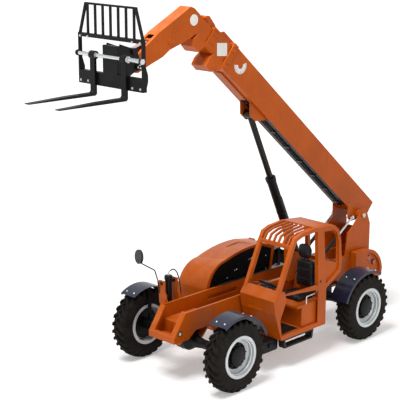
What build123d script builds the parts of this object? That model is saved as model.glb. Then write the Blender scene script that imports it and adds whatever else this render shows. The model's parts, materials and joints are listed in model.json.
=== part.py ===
from build123d import *
import os
from math import cos, hypot, radians, sin, sqrt

# Rough-terrain telehandler with a boom-transfer carriage. Millimetres.
# +X is forward, +Y is the machine's left, +Z is up. The origin is on the ground,
# halfway between the axles, on the centre plane. It stands with its boom raised.

# ---------------------------------------------------------------- driving sizes
wheelbase = 3480
tyre_radius = 635            # out to the tips of the lugs
tyre_width = 325
bead_radius = 330
flange_radius = 371
wheel_y = 1137               # middle of a tyre from the centre plane
kingpin_y = 860
axle_z = tyre_radius
seat_gap = 0.3               # between pieces that are fitted to one another
pin_gap = 0.5                # between a pin and its bore

frame_outer_y = 316          # outer face of each side plate
side_plate = 40
frame_top = 1250
frame_belly = 600
rail_strip = 12              # bare steel strip on top of each side plate

boom_angle = 41              # the boom stands at this angle
pivot_x = -2790              # boom pivot pin
pivot_z = 2030
outer_width = 356
outer_below = 61             # underside of the outer section, below the pivot line
outer_above = 422
outer_back = -251            # ends of the outer section, along the boom
outer_front = 5080
tube_wall = 15
mid_width = 300
mid_below = 10
mid_above = 382
mid_back = 400
mid_front = 5610
inner_width = 252
inner_under = 30             # underside of the inner section, above the pivot line
inner_above = 330
inner_back = 800
inner_wall = 12
head_start = 5450            # the drooped head starts here, along the boom

tilt_pivot = (6620, -1130)   # fork tilt pin, along and across the boom
lift_eye = (3783, -175)      # lift cylinder's eye on the boom, along and across
lift_base = (-1420, 900)     # lift cylinder's pin on the carriage, forward and up
lift_barrel_length = 2472
lift_barrel_radius = 85
lift_rod_radius = 55

fork_heel_x = 3388           # back of the fork shanks
fork_under_z = 5060
fork_length = 1340
fork_width = 110
fork_thick = 45
fork_half_spacing = 365
shaft_x = 3400
shaft_z = 5700
shaft_radius = 32
carriage_half = 756
carriage_bottom = 5222
carriage_top = 6020
backrest_top = carriage_top + 480

cab_inner_y = 360
cab_outer_y = 1160
hood_inner_y = -400
hood_outer_y = -1180

os.makedirs("parts", exist_ok=True)


def save(piece, label):
    """Name a finished piece and write it as its own STEP file."""
    piece.part.label = label
    export_step(piece.part, f"parts/{label}.step")


def facing_left(y):
    """The upright plane at y: sketch x is forward, sketch y is up."""
    return Plane.XZ.offset(-y)


along = Vector(cos(radians(boom_angle)), 0, sin(radians(boom_angle)))
boom_plane = Plane(origin=(pivot_x, 0, pivot_z), x_dir=along, z_dir=(0, -1, 0))


def boom_point(s, t):
    """Forward and up place of a point given along and across the boom."""
    place = boom_plane.from_local_coords(Vector(s, t, 0))
    return place.X, place.Z


# ---------------------------------------------------------------- main frame
axle_front_x = wheelbase / 2
axle_rear_x = -wheelbase / 2
arch_top = 885               # underside of the frame over the axles
arch_half = 260
nose_top_x = 2065
nose_tip_x = 2340
nose_tip_top = 850
nose_bottom = 755
frame_rear_x = -3055
sway_pivot_z = 700
trunnion_radius = 55
trough_front = 2030          # trough between the side plates, under the boom's head
trough_back = axle_front_x - 480
trough_z = 1000
nose_flange = 75             # width of the nose plate beside its window
nose_window_z = 880
slot_x = 555                 # slot in the right side plate
slot_z = 1100
slot_length = 750
slot_height = 80
hanger_offset = 270          # hanger plates fore and aft of the axle
hanger_thick = 40
sway_y = -450                # sway cylinder beside the frame
sway_pin_z = 1560
upright_offset = 150
upright_thick = 25
gusset_thick = 12
lash_x = -1028               # lashing holes in the side plates
lash_z = 1000
lash_radius = 28

frame_outline = [
    (nose_top_x, frame_top),
    (nose_tip_x, nose_tip_top),
    (nose_tip_x, nose_bottom),
    (axle_front_x + arch_half, nose_bottom),
    (axle_front_x + 90, arch_top),
    (axle_front_x - arch_half, arch_top),
    (axle_front_x - 480, frame_belly),
    (axle_rear_x + 480, frame_belly),
    (axle_rear_x + arch_half, arch_top),
    (axle_rear_x - arch_half, arch_top),
    (axle_rear_x - 360, nose_bottom),
    (frame_rear_x, nose_bottom),
    (frame_rear_x, frame_top),
]
frame_inner_y = frame_outer_y - side_plate

with BuildPart() as frame_sides:
    for side in (1, -1):
        with BuildSketch(facing_left(side * (frame_outer_y - side_plate / 2))):
            with BuildLine():
                Polyline(*frame_outline, close=True)
            make_face()
            # lashing hole behind the cab and the engine
            with Locations((lash_x, lash_z)):
                Circle(lash_radius, mode=Mode.SUBTRACT)
            # the right plate has a slot for the hoses
            if side < 0:
                with Locations((slot_x, slot_z)):
                    Rectangle(slot_length, slot_height, mode=Mode.SUBTRACT)
        extrude(amount=side_plate / 2, both=True)
save(frame_sides, "frame_sides")

member_half = frame_inner_y - seat_gap
with BuildPart() as frame_members:
    # nose: a sloped front plate with a trough for the boom's head behind its window
    with BuildSketch(Plane.XZ):
        with BuildLine():
            Polyline(
                (nose_tip_x, nose_bottom),
                (nose_tip_x, nose_tip_top),
                (nose_top_x, frame_top),
                (nose_top_x - 28, frame_top),
                (nose_tip_x - 40, nose_tip_top - 20),
                (nose_tip_x - 60, nose_bottom + 25),
                (trough_front - 20, nose_bottom + 25),
                (trough_front - 20, nose_bottom),
                close=True,
            )
        make_face()
    extrude(amount=member_half, both=True)
    with Locations(((nose_tip_x + trough_front) / 2, 0, nose_window_z + 250)):
        Box(nose_tip_x - trough_front - 10, 2 * (member_half - nose_flange), 500, mode=Mode.SUBTRACT)
    # floor of the trough and the bulkhead at its front
    with Locations(((trough_front + trough_back) / 2, 0, trough_z - 10)):
        Box(trough_front - trough_back, 2 * member_half, 20)
    with Locations((trough_front - 10, 0, (trough_z + nose_bottom) / 2)):
        Box(20, 2 * member_half, trough_z - nose_bottom)
    # hangers that carry the front axle's trunnions
    for step in (1, -1):
        with BuildSketch(Plane.YZ.offset(axle_front_x + step * hanger_offset)):
            with BuildLine():
                Polyline(
                    (-member_half, 960), (member_half, 960), (member_half, 860),
                    (110, 600), (-110, 600), (-member_half, 860), close=True,
                )
            make_face()
            with Locations((0, sway_pivot_z)):
                Circle(trunnion_radius + pin_gap, mode=Mode.SUBTRACT)
        extrude(amount=hanger_thick / 2, both=True)
    # belly plate and the rear bulkhead
    with Locations((600, 0, frame_belly + 10)):
        Box(1000, 2 * member_half, 20)
    with Locations((axle_rear_x - 420, 0, (nose_bottom + 800) / 2)):
        Box(500, 2 * member_half, 800 - nose_bottom)
    # uprights that hold the sway cylinder on the right side plate
    upright_foot = -frame_outer_y - seat_gap
    for step in (1, -1):
        with BuildSketch(Plane.YZ.offset(axle_front_x + step * upright_offset)):
            with BuildLine():
                Polyline(
                    (upright_foot, 1040), (upright_foot, frame_top), (sway_y + 75, 1420),
                    (sway_y + 75, 1610), (sway_y - 75, 1610), (sway_y - 75, 1360),
                    (sway_y - 60, 1200), close=True,
                )
            make_face()
            with Locations((sway_y, sway_pin_z)):
                Circle(30 + pin_gap, mode=Mode.SUBTRACT)
        extrude(amount=upright_thick / 2, both=True)
        # flared gusset at its foot
        face_x = axle_front_x + step * (upright_offset + upright_thick / 2 - 1)
        far_x = face_x + step * 150
        with BuildSketch(facing_left(upright_foot - gusset_thick / 2)):
            with BuildLine():
                Polyline((face_x, 1420), (face_x, 1100), (far_x, 1100), (far_x, frame_top - 10))
                ThreePointArc((far_x, frame_top - 10), (face_x + step * 45, 1290), (face_x, 1420))
            make_face()
        extrude(amount=gusset_thick / 2, both=True)
save(frame_members, "frame_members")

with BuildPart() as slide_rails:
    for side in (1, -1):
        with Locations((-1210, side * (frame_outer_y - side_plate / 2), frame_top + rail_strip / 2)):
            Box(3660, side_plate, rail_strip)
save(slide_rails, "slide_rails")

# ---------------------------------------------------------------- rear housing
housing_half = 450
recess_depth = 45
lamp_radius = 45
lamp_thick = 28
with BuildPart() as rear_housing:
    with BuildSketch(Plane.XZ):
        with BuildLine():
            Polyline((-3245, 733), (-2420, 733), (-2420, 1365), (-2760, 1365))
            ThreePointArc((-2760, 1365), (-3135, 1190), (-3272, 880))
            Line((-3272, 880), (-3245, 733))
        make_face()
    extrude(amount=housing_half, both=True)
    with Locations((frame_rear_x - seat_gap + 500, 0, 1100)):
        Box(1000, 2 * (frame_outer_y + seat_gap), 900, mode=Mode.SUBTRACT)
    # recess with the lamps on each side
    for side in (1, -1):
        with BuildSketch(facing_left(side * housing_half)):
            with BuildLine():
                ThreePointArc((-2800, 1295), (-3080, 1150), (-3212, 890))
                Polyline((-3212, 890), (-3190, 800), (-3000, 800), (-2780, 1110), (-2800, 1295))
            make_face()
        extrude(amount=recess_depth, both=True, mode=Mode.SUBTRACT)
save(rear_housing, "rear_housing")

with BuildPart() as rear_lamps:
    for side in (1, -1):
        lamp_y = side * (housing_half - recess_depth + seat_gap + lamp_thick / 2)
        for place in ((-2855, 1170), (-3025, 1055)):
            with Locations(Location((place[0], lamp_y, place[1]), (90, 0, 0))):
                Cylinder(lamp_radius, lamp_thick)
save(rear_lamps, "rear_lamps")

# ---------------------------------------------------------------- axles
yoke_half = 65
barrel_half = 105
arm_thick = 53
kingpin_radius = 30


def axle_housing(x, swaying):
    """Axle with its differential, tubes and the yokes that hold the knuckles."""
    with BuildPart() as axle:
        with BuildSketch(Plane(origin=(x, 0, axle_z), x_dir=(1, 0, 0), z_dir=(0, 0, 1))):
            with BuildLine():
                Polyline(
                    (0, -760), (80, -760), (80, -420), (110, -240), (190, -110), (190, 110),
                    (110, 240), (80, 420), (80, 760), (0, 760), close=True,
                )
            make_face()
        revolve(axis=Axis((x, 0, axle_z), (0, 1, 0)))
        for side in (1, -1):
            with Locations((x, side * 760, axle_z)):
                Box(2 * yoke_half, 40, 2 * (barrel_half + 7 + arm_thick))
            for up in (1, -1):
                arm_z = axle_z + up * (barrel_half + 7 + arm_thick / 2)
                with Locations((x, side * (760 + kingpin_y) / 2, arm_z)):
                    Box(2 * yoke_half, kingpin_y - 760, arm_thick)
                with Locations((x, side * kingpin_y, arm_z)):
                    Cylinder(yoke_half, arm_thick)
                with Locations((x, side * kingpin_y, axle_z + up * (barrel_half - 20))):
                    Cylinder(kingpin_radius, 80)
        if swaying:
            with Locations(Location((x, 0, sway_pivot_z), (0, 90, 0))):
                Cylinder(trunnion_radius, 2 * (hanger_offset + 50))
            for step in (1, -1):
                with Locations((x + step * 55, sway_y, 745)):
                    Box(20, 110, 200)
        else:
            for side in (1, -1):
                with Locations((x, side * (frame_outer_y - side_plate / 2), (arch_top + 690) / 2)):
                    Box(180, 90, arch_top - 690)
    return axle


front_axle = axle_housing(axle_front_x, True)
save(front_axle, "front_axle")
rear_axle = axle_housing(axle_rear_x, False)
save(rear_axle, "rear_axle")

# ---------------------------------------------------------------- wheels, knuckles, fenders
tyre_sides = 24              # bars in each row, and sides of the tyre's faceted body
bar_height = 43
bar_width = 46
bar_lean = 125               # how far a bar leans between the shoulder and the middle
tread_radius = tyre_radius - bar_height
# the tyre's section, closed: place across and radius at the corners of its sides
bore_corner = (bead_radius + seat_gap) / cos(radians(180 / tyre_sides))
tyre_section = [
    (-140, bore_corner), (-tyre_width / 2, 490), (-142, tread_radius), (142, tread_radius),
    (tyre_width / 2, 490), (140, bore_corner),
]
bar_top = sqrt(tyre_radius**2 - (bar_lean / 2 + bar_width / 2) ** 2)
side_angle = 360 / tyre_sides


def tyre_corner(place, radius, turn):
    """A corner of the tyre's faceted body, turn sides round from the top."""
    angle = radians((turn + 0.5) * side_angle)
    return Vector(radius * sin(angle), place, radius * cos(angle))


tyre_faces = []
for (place, radius), (next_place, next_radius) in zip(tyre_section, tyre_section[1:] + tyre_section[:1]):
    for turn in range(tyre_sides):
        tyre_faces.append(Face(Wire.make_polygon([
            tyre_corner(place, radius, turn), tyre_corner(place, radius, turn + 1),
            tyre_corner(next_place, next_radius, turn + 1), tyre_corner(next_place, next_radius, turn),
        ])))
with BuildPart(mode=Mode.PRIVATE) as tread_bar:
    # a bar of the left row, leaning from the shoulder to just past the middle
    with BuildSketch(Plane(origin=(tread_radius - 35, 0, 0), x_dir=(0, 0, 1), z_dir=(1, 0, 0))):
        with BuildLine():
            Polyline(
                (-bar_lean / 2 - bar_width / 2, 140), (-bar_lean / 2 + bar_width / 2, 140),
                (bar_lean / 2 + bar_width / 2 - 6, -14), (bar_lean / 2 - bar_width / 2 + 6, -14), close=True,
            )
        make_face()
    extrude(amount=bar_top - tread_radius + 35)
other_bar = mirror(tread_bar.part, about=Plane.XZ)
with BuildPart(mode=Mode.PRIVATE) as tyre_form:
    add(Solid(Shell(tyre_faces)))
    for bar, lead in ((tread_bar.part, 0), (other_bar, 0.5)):
        with Locations(*[Location((0, 0, 0), (0, (i + lead) * side_angle, 0)) for i in range(tyre_sides)]):
            add(bar)

rim_half = 162
rim_wall = 12
disc_out = 36                # outer face of the wheel disc, from the middle of the tyre
disc_thick = 16
hub_radius = 165
hub_out = 105
hub_in = 60
stub_radius = 60
fender_radius = 700
fender_thick = 8
fender_start = 58            # ends of the fender's arc, from the machine's end, in degrees
fender_end = 160
fender_lip = 42              # folded edge along the outside
fender_inner_y = 920
fender_outer_y = 1290

# corner name, forward sign, left sign
corners = [
    ("front_left", 1, 1),
    ("front_right", 1, -1),
    ("rear_left", -1, 1),
    ("rear_right", -1, -1),
]
for corner, fore, side in corners:
    wheel_x = fore * wheelbase / 2
    hub_axis = Axis((wheel_x, 0, axle_z), (0, 1, 0))
    across = Plane(
        origin=(wheel_x, side * wheel_y, axle_z), x_dir=(1, 0, 0), z_dir=(0, 0, side)
    )

    with BuildPart() as tyre:
        with Locations((wheel_x, side * wheel_y, axle_z)):
            add(tyre_form.part)
    save(tyre, f"tyre_{corner}")

    with BuildPart() as rim:
        with BuildSketch(across):
            with BuildLine():
                Polyline(
                    (flange_radius, -rim_half), (flange_radius, -150), (bead_radius, -150),
                    (bead_radius, 150), (flange_radius, 150), (flange_radius, rim_half),
                    (bead_radius - rim_wall, rim_half), (bead_radius - rim_wall, 120),
                    (bead_radius - rim_wall - 18, 108), (bead_radius - rim_wall - 18, disc_out + 22),
                    (bead_radius - rim_wall - 40, disc_out),
                    (hub_radius, disc_out), (hub_radius, hub_out), (95, hub_out + 20),
                    (0, hub_out + 20), (0, 0), (stub_radius + pin_gap, 0),
                    (stub_radius + pin_gap, -hub_in), (hub_radius, -hub_in),
                    (hub_radius, disc_out - disc_thick),
                    (bead_radius - rim_wall, disc_out - disc_thick),
                    (bead_radius - rim_wall, -rim_half), close=True,
                )
            make_face()
        revolve(axis=hub_axis)
    save(rim, f"rim_{corner}")

    bracket_y = 942              # upright bracket between yoke and tyre
    with BuildPart() as knuckle:
        with Locations((wheel_x, side * kingpin_y, axle_z)):
            Cylinder(70, 2 * barrel_half)
        spindle_end = wheel_y - hub_in - 5
        with Locations(Location((wheel_x, side * (kingpin_y + spindle_end) / 2, axle_z), (90, 0, 0))):
            Cylinder(95, spindle_end - kingpin_y)
        with Locations(Location((wheel_x, side * (spindle_end + wheel_y - 5) / 2, axle_z), (90, 0, 0))):
            Cylinder(stub_radius, wheel_y - 5 - spindle_end)
        arm_top = axle_z + sqrt(fender_radius**2 - 40**2) - seat_gap
        with Locations((wheel_x, side * bracket_y, (axle_z + arm_top) / 2)):
            Box(80, 14, arm_top - axle_z)
        with Locations((wheel_x, side * (bracket_y - 7 + 1200) / 2, arm_top - 6)):
            Box(80, 1200 - bracket_y + 7, 12)
        for up in (1, -1):
            with Locations((wheel_x, side * kingpin_y, axle_z + up * (barrel_half - 20))):
                Cylinder(kingpin_radius + pin_gap, 80 + 2 * pin_gap, mode=Mode.SUBTRACT)
    save(knuckle, f"knuckle_{corner}")

    with BuildPart() as fender:
        # the curved sheet, and the edge that is folded down along its outside
        fold_y = fender_outer_y - fender_thick
        for depth, from_y, to_y in ((0, fender_inner_y, fender_outer_y), (fender_lip, fold_y, fender_outer_y)):
            with BuildSketch(facing_left(side * (from_y + to_y) / 2)):
                with Locations((wheel_x, axle_z)):
                    Circle(fender_radius + fender_thick)
                    Circle(fender_radius - depth, mode=Mode.SUBTRACT)
                reach = 2 * fender_radius
                middle = (fender_start + fender_end) / 2
                with BuildLine():
                    Polyline(
                        (wheel_x, axle_z),
                        *[
                            (wheel_x + fore * reach * cos(radians(a)), axle_z + reach * sin(radians(a)))
                            for a in (fender_start, middle, fender_end)
                        ],
                        close=True,
                    )
                make_face(mode=Mode.INTERSECT)
            extrude(amount=(to_y - from_y) / 2, both=True)
    save(fender, f"fender_{corner}")

# ---------------------------------------------------------------- sway cylinder
sway_eye_z = 800
with BuildPart() as sway_barrel:
    with Locations((axle_front_x, sway_y, 1420)):
        Cylinder(60, 500)
    with Locations(Location((axle_front_x, sway_y, sway_pin_z), (0, 90, 0))):
        Cylinder(30, 2 * (upright_offset + upright_thick))
    with Locations((axle_front_x, sway_y, 1310)):
        Cylinder(33 + pin_gap, 280, mode=Mode.SUBTRACT)
save(sway_barrel, "sway_barrel")
with BuildPart() as sway_rod:
    with Locations((axle_front_x, sway_y, 1090)):
        Cylinder(33, 500)
    with Locations(Location((axle_front_x, sway_y, sway_eye_z), (0, 90, 0))):
        Cylinder(45, 70)
save(sway_rod, "sway_rod")

# ---------------------------------------------------------------- boom-transfer carriage
shoe_z = frame_top + rail_strip + seat_gap
shoe_thick = 28
shoe_outer_y = 306
beam_y = 230                 # middle of each hanging beam
beam_thick = 30
tower_inner_y = 275
tower_outer_y = 300
carriage_back = -3010
carriage_front = -1180
pivot_pin_radius = 45
slave_y = 232                # slave cylinders, beside the boom's foot
slave_base = (-1620, 1400)
slave_eye = (190, -178)
slave_pin = 16
tower_outline = [
    (-3020, shoe_z), (-3020, 1830), (-2915, 2075), (-2845, 2150), (-2735, 2150),
    (-2680, 2060), (-2513, 1895), (-2333, 1750), (-2265, shoe_z),
]
with BuildPart() as carriage:
    for side in (1, -1):
        shoe_mid = side * (beam_y - beam_thick / 2 + shoe_outer_y) / 2
        shoe_wide = shoe_outer_y - beam_y + beam_thick / 2
        mid_x = (carriage_back + carriage_front) / 2
        with Locations((mid_x, shoe_mid, shoe_z + shoe_thick / 2)):
            Box(carriage_front - carriage_back, shoe_wide, shoe_thick)
        with Locations((mid_x, side * beam_y, (830 + shoe_z) / 2)):
            Box(carriage_front - carriage_back, beam_thick, shoe_z + shoe_thick - 830)
        with BuildSketch(facing_left(side * (tower_inner_y + tower_outer_y) / 2)):
            with BuildLine():
                Polyline(*tower_outline, close=True)
            make_face()
            with Locations((pivot_x, pivot_z)):
                Circle(pivot_pin_radius + pin_gap, mode=Mode.SUBTRACT)
        extrude(amount=(tower_outer_y - tower_inner_y) / 2, both=True)
        # bosses of the lift cylinder's lower pin
        with Locations(Location((lift_base[0], side * 165, lift_base[1]), (90, 0, 0))):
            Cylinder(75, 100)
        # lug and pin of the slave cylinder
        with BuildSketch(facing_left(side * 273)):
            with BuildLine():
                Polyline(
                    (slave_base[0] - 90, shoe_z), (slave_base[0] - 32, slave_base[1] + 32),
                    (slave_base[0] + 32, slave_base[1] + 32), (slave_base[0] + 90, shoe_z), close=True,
                )
            make_face()
        extrude(amount=6, both=True)
        with Locations(Location((slave_base[0], side * (198 + 273) / 2, slave_base[1]), (90, 0, 0))):
            Cylinder(slave_pin, 273 - 198)
    with Locations((-2995, 0, 1265)):
        Box(30, 2 * tower_inner_y, 870)
    with Locations((-1660, 0, 1060)):
        Box(30, 2 * beam_y, 460)
save(carriage, "carriage")

# ---------------------------------------------------------------- boom sections
lug_y = 112                  # middle of each cheek of the lift cylinder's lug
pad_length = 150
bracket_half = 80            # hose brackets on top of the boom's mouths


def boom_box(start, length, half, top, under, mode=Mode.ADD):
    """A box that lies along the boom, in the part under way."""
    middle = boom_plane.from_local_coords(Vector(start + length / 2, (top + under) / 2, 0))
    with Locations(Plane(origin=middle, x_dir=along, z_dir=(0, -1, 0)).location):
        Box(length, top - under, 2 * half, mode=mode)


with BuildPart() as boom_outer:
    with BuildSketch(boom_plane):
        with BuildLine():
            Polyline(
                (outer_back, outer_above), (outer_front, outer_above), (outer_front, -outer_below),
                (230, -outer_below), (outer_back, 177), close=True,
            )
        make_face()
    extrude(amount=outer_width / 2, both=True)
    # the bore for the middle section
    with BuildSketch(boom_plane):
        with BuildLine():
            Polyline(
                (outer_back - 10, outer_above - tube_wall), (outer_front + 10, outer_above - tube_wall),
                (outer_front + 10, tube_wall - outer_below), (240, tube_wall - outer_below),
                (outer_back - 10, 210), close=True,
            )
        make_face()
    extrude(amount=outer_width / 2 - tube_wall, both=True, mode=Mode.SUBTRACT)
    # foot brackets on both sides
    for side in (1, -1):
        with BuildSketch(boom_plane.offset(-side * (outer_width / 2 + 6))):
            with BuildLine():
                Polyline(
                    (-200, 230), (-130, -70), (0, -120), (130, -235), (250, -235), (420, -40),
                    (420, 60), close=True,
                )
            make_face()
        extrude(amount=6, both=True)
        # pivot pin with its boss
        with BuildSketch(boom_plane.offset(-side * (outer_width / 2 + 54))):
            Circle(95)
        extrude(amount=42, both=True)
        with BuildSketch(boom_plane.offset(-side * (outer_width / 2 + 75))):
            Circle(pivot_pin_radius)
        extrude(amount=75, both=True)
        # lug of the lift cylinder
        with BuildSketch(boom_plane.offset(-side * lug_y)):
            with BuildLine():
                Polyline(
                    (lift_eye[0] - 330, -outer_below), (lift_eye[0] - 90, -245),
                    (lift_eye[0] + 90, -245), (lift_eye[0] + 260, -outer_below), close=True,
                )
            make_face()
        extrude(amount=12, both=True)
    # pin of the lift cylinder
    with BuildSketch(boom_plane):
        with Locations(lift_eye):
            Circle(35)
    extrude(amount=lug_y + 12, both=True)
    # guide that carries the middle section in front of the mouth
    with BuildSketch(boom_plane):
        with BuildLine():
            Polyline(
                (5367, 13), (outer_front - 8, 26), (outer_front - 8, -103), (5235, -264), (5385, -255),
                (5401, -125), close=True,
            )
        make_face()
    extrude(amount=outer_width / 2, both=True)
    boom_box(outer_front - 9, 400, mid_width / 2 + 6, 200, -mid_below - 6, Mode.SUBTRACT)
    # hose channel under the front half
    boom_box(4100, 830, 60, 1 - outer_below, -outer_below - 26)
    # collar at the front end
    with BuildSketch(Plane(origin=boom_plane.from_local_coords(Vector(outer_front, 0, 0)), x_dir=(0, 1, 0),
                           z_dir=-along)):
        with Locations((0, -(outer_above - outer_below) / 2)):
            Rectangle(outer_width + 30, outer_above + outer_below + 30)
            Rectangle(outer_width - 20, outer_above + outer_below - 20, mode=Mode.SUBTRACT)
    extrude(amount=120)
    # wear pads at the mouth that guide the middle section
    pad_start = outer_front - pad_length - 10
    boom_box(pad_start, pad_length, outer_width / 2 - 1, outer_above - 1, 1 - outer_below)
    boom_box(pad_start - 1, pad_length + 2, mid_width / 2 + seat_gap, mid_above + seat_gap,
             -mid_below - seat_gap, Mode.SUBTRACT)
    # hose bracket on top of the mouth, with its roller
    for side in (1, -1):
        with BuildSketch(boom_plane.offset(side * bracket_half)):
            with BuildLine():
                Polyline(
                    (4906, outer_above), (4935, 481), (5335, 481), (5373, 440), (5350, 396),
                    (outer_front + 6, 396), (outer_front - 20, outer_above), close=True,
                )
            make_face()
        extrude(amount=5, both=True)
    with BuildSketch(boom_plane):
        with Locations((5325, 438)):
            Circle(30)
    extrude(amount=bracket_half, both=True)
save(boom_outer, "boom_outer")

with BuildPart() as boom_mid:
    with BuildSketch(boom_plane):
        with Locations(((mid_back + mid_front) / 2, (mid_above - mid_below) / 2)):
            Rectangle(mid_front - mid_back, mid_above + mid_below)
    extrude(amount=mid_width / 2, both=True)
    # wear pads at its back end
    boom_box(mid_back + 10, pad_length, outer_width / 2 - tube_wall - seat_gap,
             outer_above - tube_wall - seat_gap, tube_wall - outer_below + seat_gap)
    # guide that carries the inner section in front of the mouth
    with BuildSketch(boom_plane):
        with BuildLine():
            Polyline(
                (5848, 47), (5563, 42), (5637, -97), (5674, -180), (5813, -167), (5888, -80), close=True,
            )
        make_face()
    extrude(amount=mid_width / 2, both=True)
    boom_box(mid_front + 1, 400, inner_width / 2 + 6, 200, inner_under - 6, Mode.SUBTRACT)
    # hose bracket on top of the mouth, with its roller
    for side in (1, -1):
        with BuildSketch(boom_plane.offset(side * (bracket_half - 20))):
            with BuildLine():
                Polyline(
                    (5522, mid_above), (5548, 440), (5770, 476), (5821, 442), (5790, 396),
                    (mid_front + 40, 345), (mid_front - 20, mid_above - 5), close=True,
                )
            make_face()
        extrude(amount=5, both=True)
    with BuildSketch(boom_plane):
        with Locations((5775, 432)):
            Circle(30)
    extrude(amount=bracket_half - 20, both=True)
    with BuildSketch(boom_plane):
        with Locations(((mid_back + mid_front) / 2, (mid_above - mid_below) / 2)):
            Rectangle(mid_front - mid_back + 20, mid_above + mid_below - 2 * inner_wall)
    extrude(amount=mid_width / 2 - inner_wall, both=True, mode=Mode.SUBTRACT)
    # wear pads at the mouth that guide the inner section
    pad_start = mid_front - pad_length - 10
    boom_box(pad_start, pad_length, mid_width / 2 - 1, mid_above - 1, 1 - mid_below)
    boom_box(pad_start - 1, pad_length + 2, inner_width / 2 + seat_gap, inner_above + seat_gap,
             inner_under - seat_gap, Mode.SUBTRACT)
save(boom_mid, "boom_mid")

# inner section: a straight box, and the drooped head welded to its front
head_outline = [
    (head_start, inner_above), (6180, inner_above), (6262, 300), (6414, -80), (6556, -421),
    (6661, -797), (6730, -1130), (6690, -1215), (6600, -1240), (6520, -1190), (6395, -946),
    (6247, -686), (6193, -509), (5943, -111), (5884, inner_under), (head_start, inner_under),
]
tilt_x, tilt_z = boom_point(*tilt_pivot)
upper_pin = (tilt_x + 80, tilt_z + 245)      # tilt rod's pin on the fork carriage
barrel_x, barrel_z = boom_point(6330, -330)
rod_length = hypot(upper_pin[0] - barrel_x, upper_pin[1] - barrel_z)
rod_dir = Vector(upper_pin[0] - barrel_x, 0, upper_pin[1] - barrel_z).normalized()
rod_plane = Plane(origin=(barrel_x, 0, barrel_z), x_dir=rod_dir, z_dir=(0, -1, 0))
tilt_rod_radius = 28


def round_bar(plane, start, end, radius, mode=Mode.ADD):
    """A round bar along the plane's sketch x axis, in the part under way."""
    middle = plane.from_local_coords(Vector((start + end) / 2, 0, 0))
    with Locations(Plane(origin=middle, z_dir=plane.x_dir).location):
        Cylinder(radius, end - start, mode=mode)


with BuildPart() as boom_inner:
    inner_length = head_start - seat_gap - inner_back
    boom_box(inner_back, inner_length, inner_width / 2, inner_above, inner_under)
    # wear pads at its back end
    boom_box(inner_back + 10, pad_length, mid_width / 2 - inner_wall - seat_gap,
             mid_above - inner_wall - seat_gap, inner_wall - mid_below + seat_gap)
    boom_box(inner_back - 10, inner_length + 20, inner_width / 2 - inner_wall, inner_above - inner_wall,
             inner_under + inner_wall, Mode.SUBTRACT)
save(boom_inner, "boom_inner")

with BuildPart() as gooseneck:
    with BuildSketch(boom_plane):
        with BuildLine():
            Polyline(*head_outline, close=True)
        make_face()
    extrude(amount=inner_width / 2, both=True)
    # hollow throughout, open at the back
    with BuildSketch(boom_plane):
        with BuildLine():
            Polyline(*head_outline, close=True)
        make_face()
        offset(amount=-inner_wall, kind=Kind.INTERSECTION, mode=Mode.REPLACE)
        with Locations((head_start + 20, (inner_above + inner_under) / 2)):
            Rectangle(60, inner_above - inner_under - 2 * inner_wall)
    extrude(amount=inner_width / 2 - inner_wall, both=True, mode=Mode.SUBTRACT)
    # mouth of the head, where the tilt cylinder's rod comes out
    with BuildSketch(boom_plane):
        with BuildLine():
            Polyline(
                (6330, -350), (6470, -350), (6800, -800), (6860, -1100), (6560, -1010), close=True,
            )
        make_face()
    extrude(amount=70, both=True, mode=Mode.SUBTRACT)
    # doubler with its boss on each side
    for side in (1, -1):
        with BuildSketch(boom_plane.offset(side * (inner_width / 2 + 3))):
            with BuildLine():
                Polyline(
                    (5930, 57), (6145, 57), (6339, -440), (6190, -457), (6025, -230), (5935, -60), close=True,
                )
            make_face()
        extrude(amount=5, both=True)
        with BuildSketch(boom_plane.offset(side * (inner_width / 2 + 7))):
            with Locations((6201, -374)):
                Circle(48)
        extrude(amount=9, both=True)
    # gland plate that guides the rod, and the tilt pin's tube
    with BuildSketch(rod_plane):
        with Locations((365, -18)):
            Rectangle(70, 125)
    extrude(amount=inner_width / 2 - 1, both=True)
    round_bar(rod_plane, 300, 430, tilt_rod_radius + pin_gap, Mode.SUBTRACT)
    with BuildSketch(boom_plane):
        with Locations(tilt_pivot):
            Circle(62)
    extrude(amount=inner_width / 2, both=True)
    with BuildSketch(boom_plane):
        with Locations(tilt_pivot):
            Circle(35 + pin_gap)
    extrude(amount=inner_width, both=True, mode=Mode.SUBTRACT)
save(gooseneck, "gooseneck")

# ---------------------------------------------------------------- lift cylinder
eye_x, eye_z = boom_point(*lift_eye)
lift_length = hypot(eye_x - lift_base[0], eye_z - lift_base[1])
lift_dir = Vector(eye_x - lift_base[0], 0, eye_z - lift_base[1]).normalized()
lift_plane = Plane(origin=(lift_base[0], 0, lift_base[1]), x_dir=lift_dir, z_dir=(0, -1, 0))

with BuildPart() as lift_barrel:
    round_bar(lift_plane, 0, lift_barrel_length, lift_barrel_radius)
    round_bar(lift_plane, lift_barrel_length - 90, lift_barrel_length, lift_barrel_radius + 8)
    with BuildSketch(lift_plane):
        Circle(90)
    extrude(amount=80, both=True)
    round_bar(lift_plane, 150, lift_barrel_length, lift_rod_radius + pin_gap, Mode.SUBTRACT)
save(lift_barrel, "lift_barrel")
with BuildPart() as lift_rod:
    round_bar(lift_plane, lift_length - 2350, lift_length, lift_rod_radius)
    with BuildSketch(lift_plane):
        with Locations((lift_length, 0)):
            Circle(68)
    extrude(amount=lug_y - 20, both=True)
    with BuildSketch(lift_plane):
        with Locations((lift_length, 0)):
            Circle(35 + pin_gap)
    extrude(amount=lug_y, both=True, mode=Mode.SUBTRACT)
save(lift_rod, "lift_rod")

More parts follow.
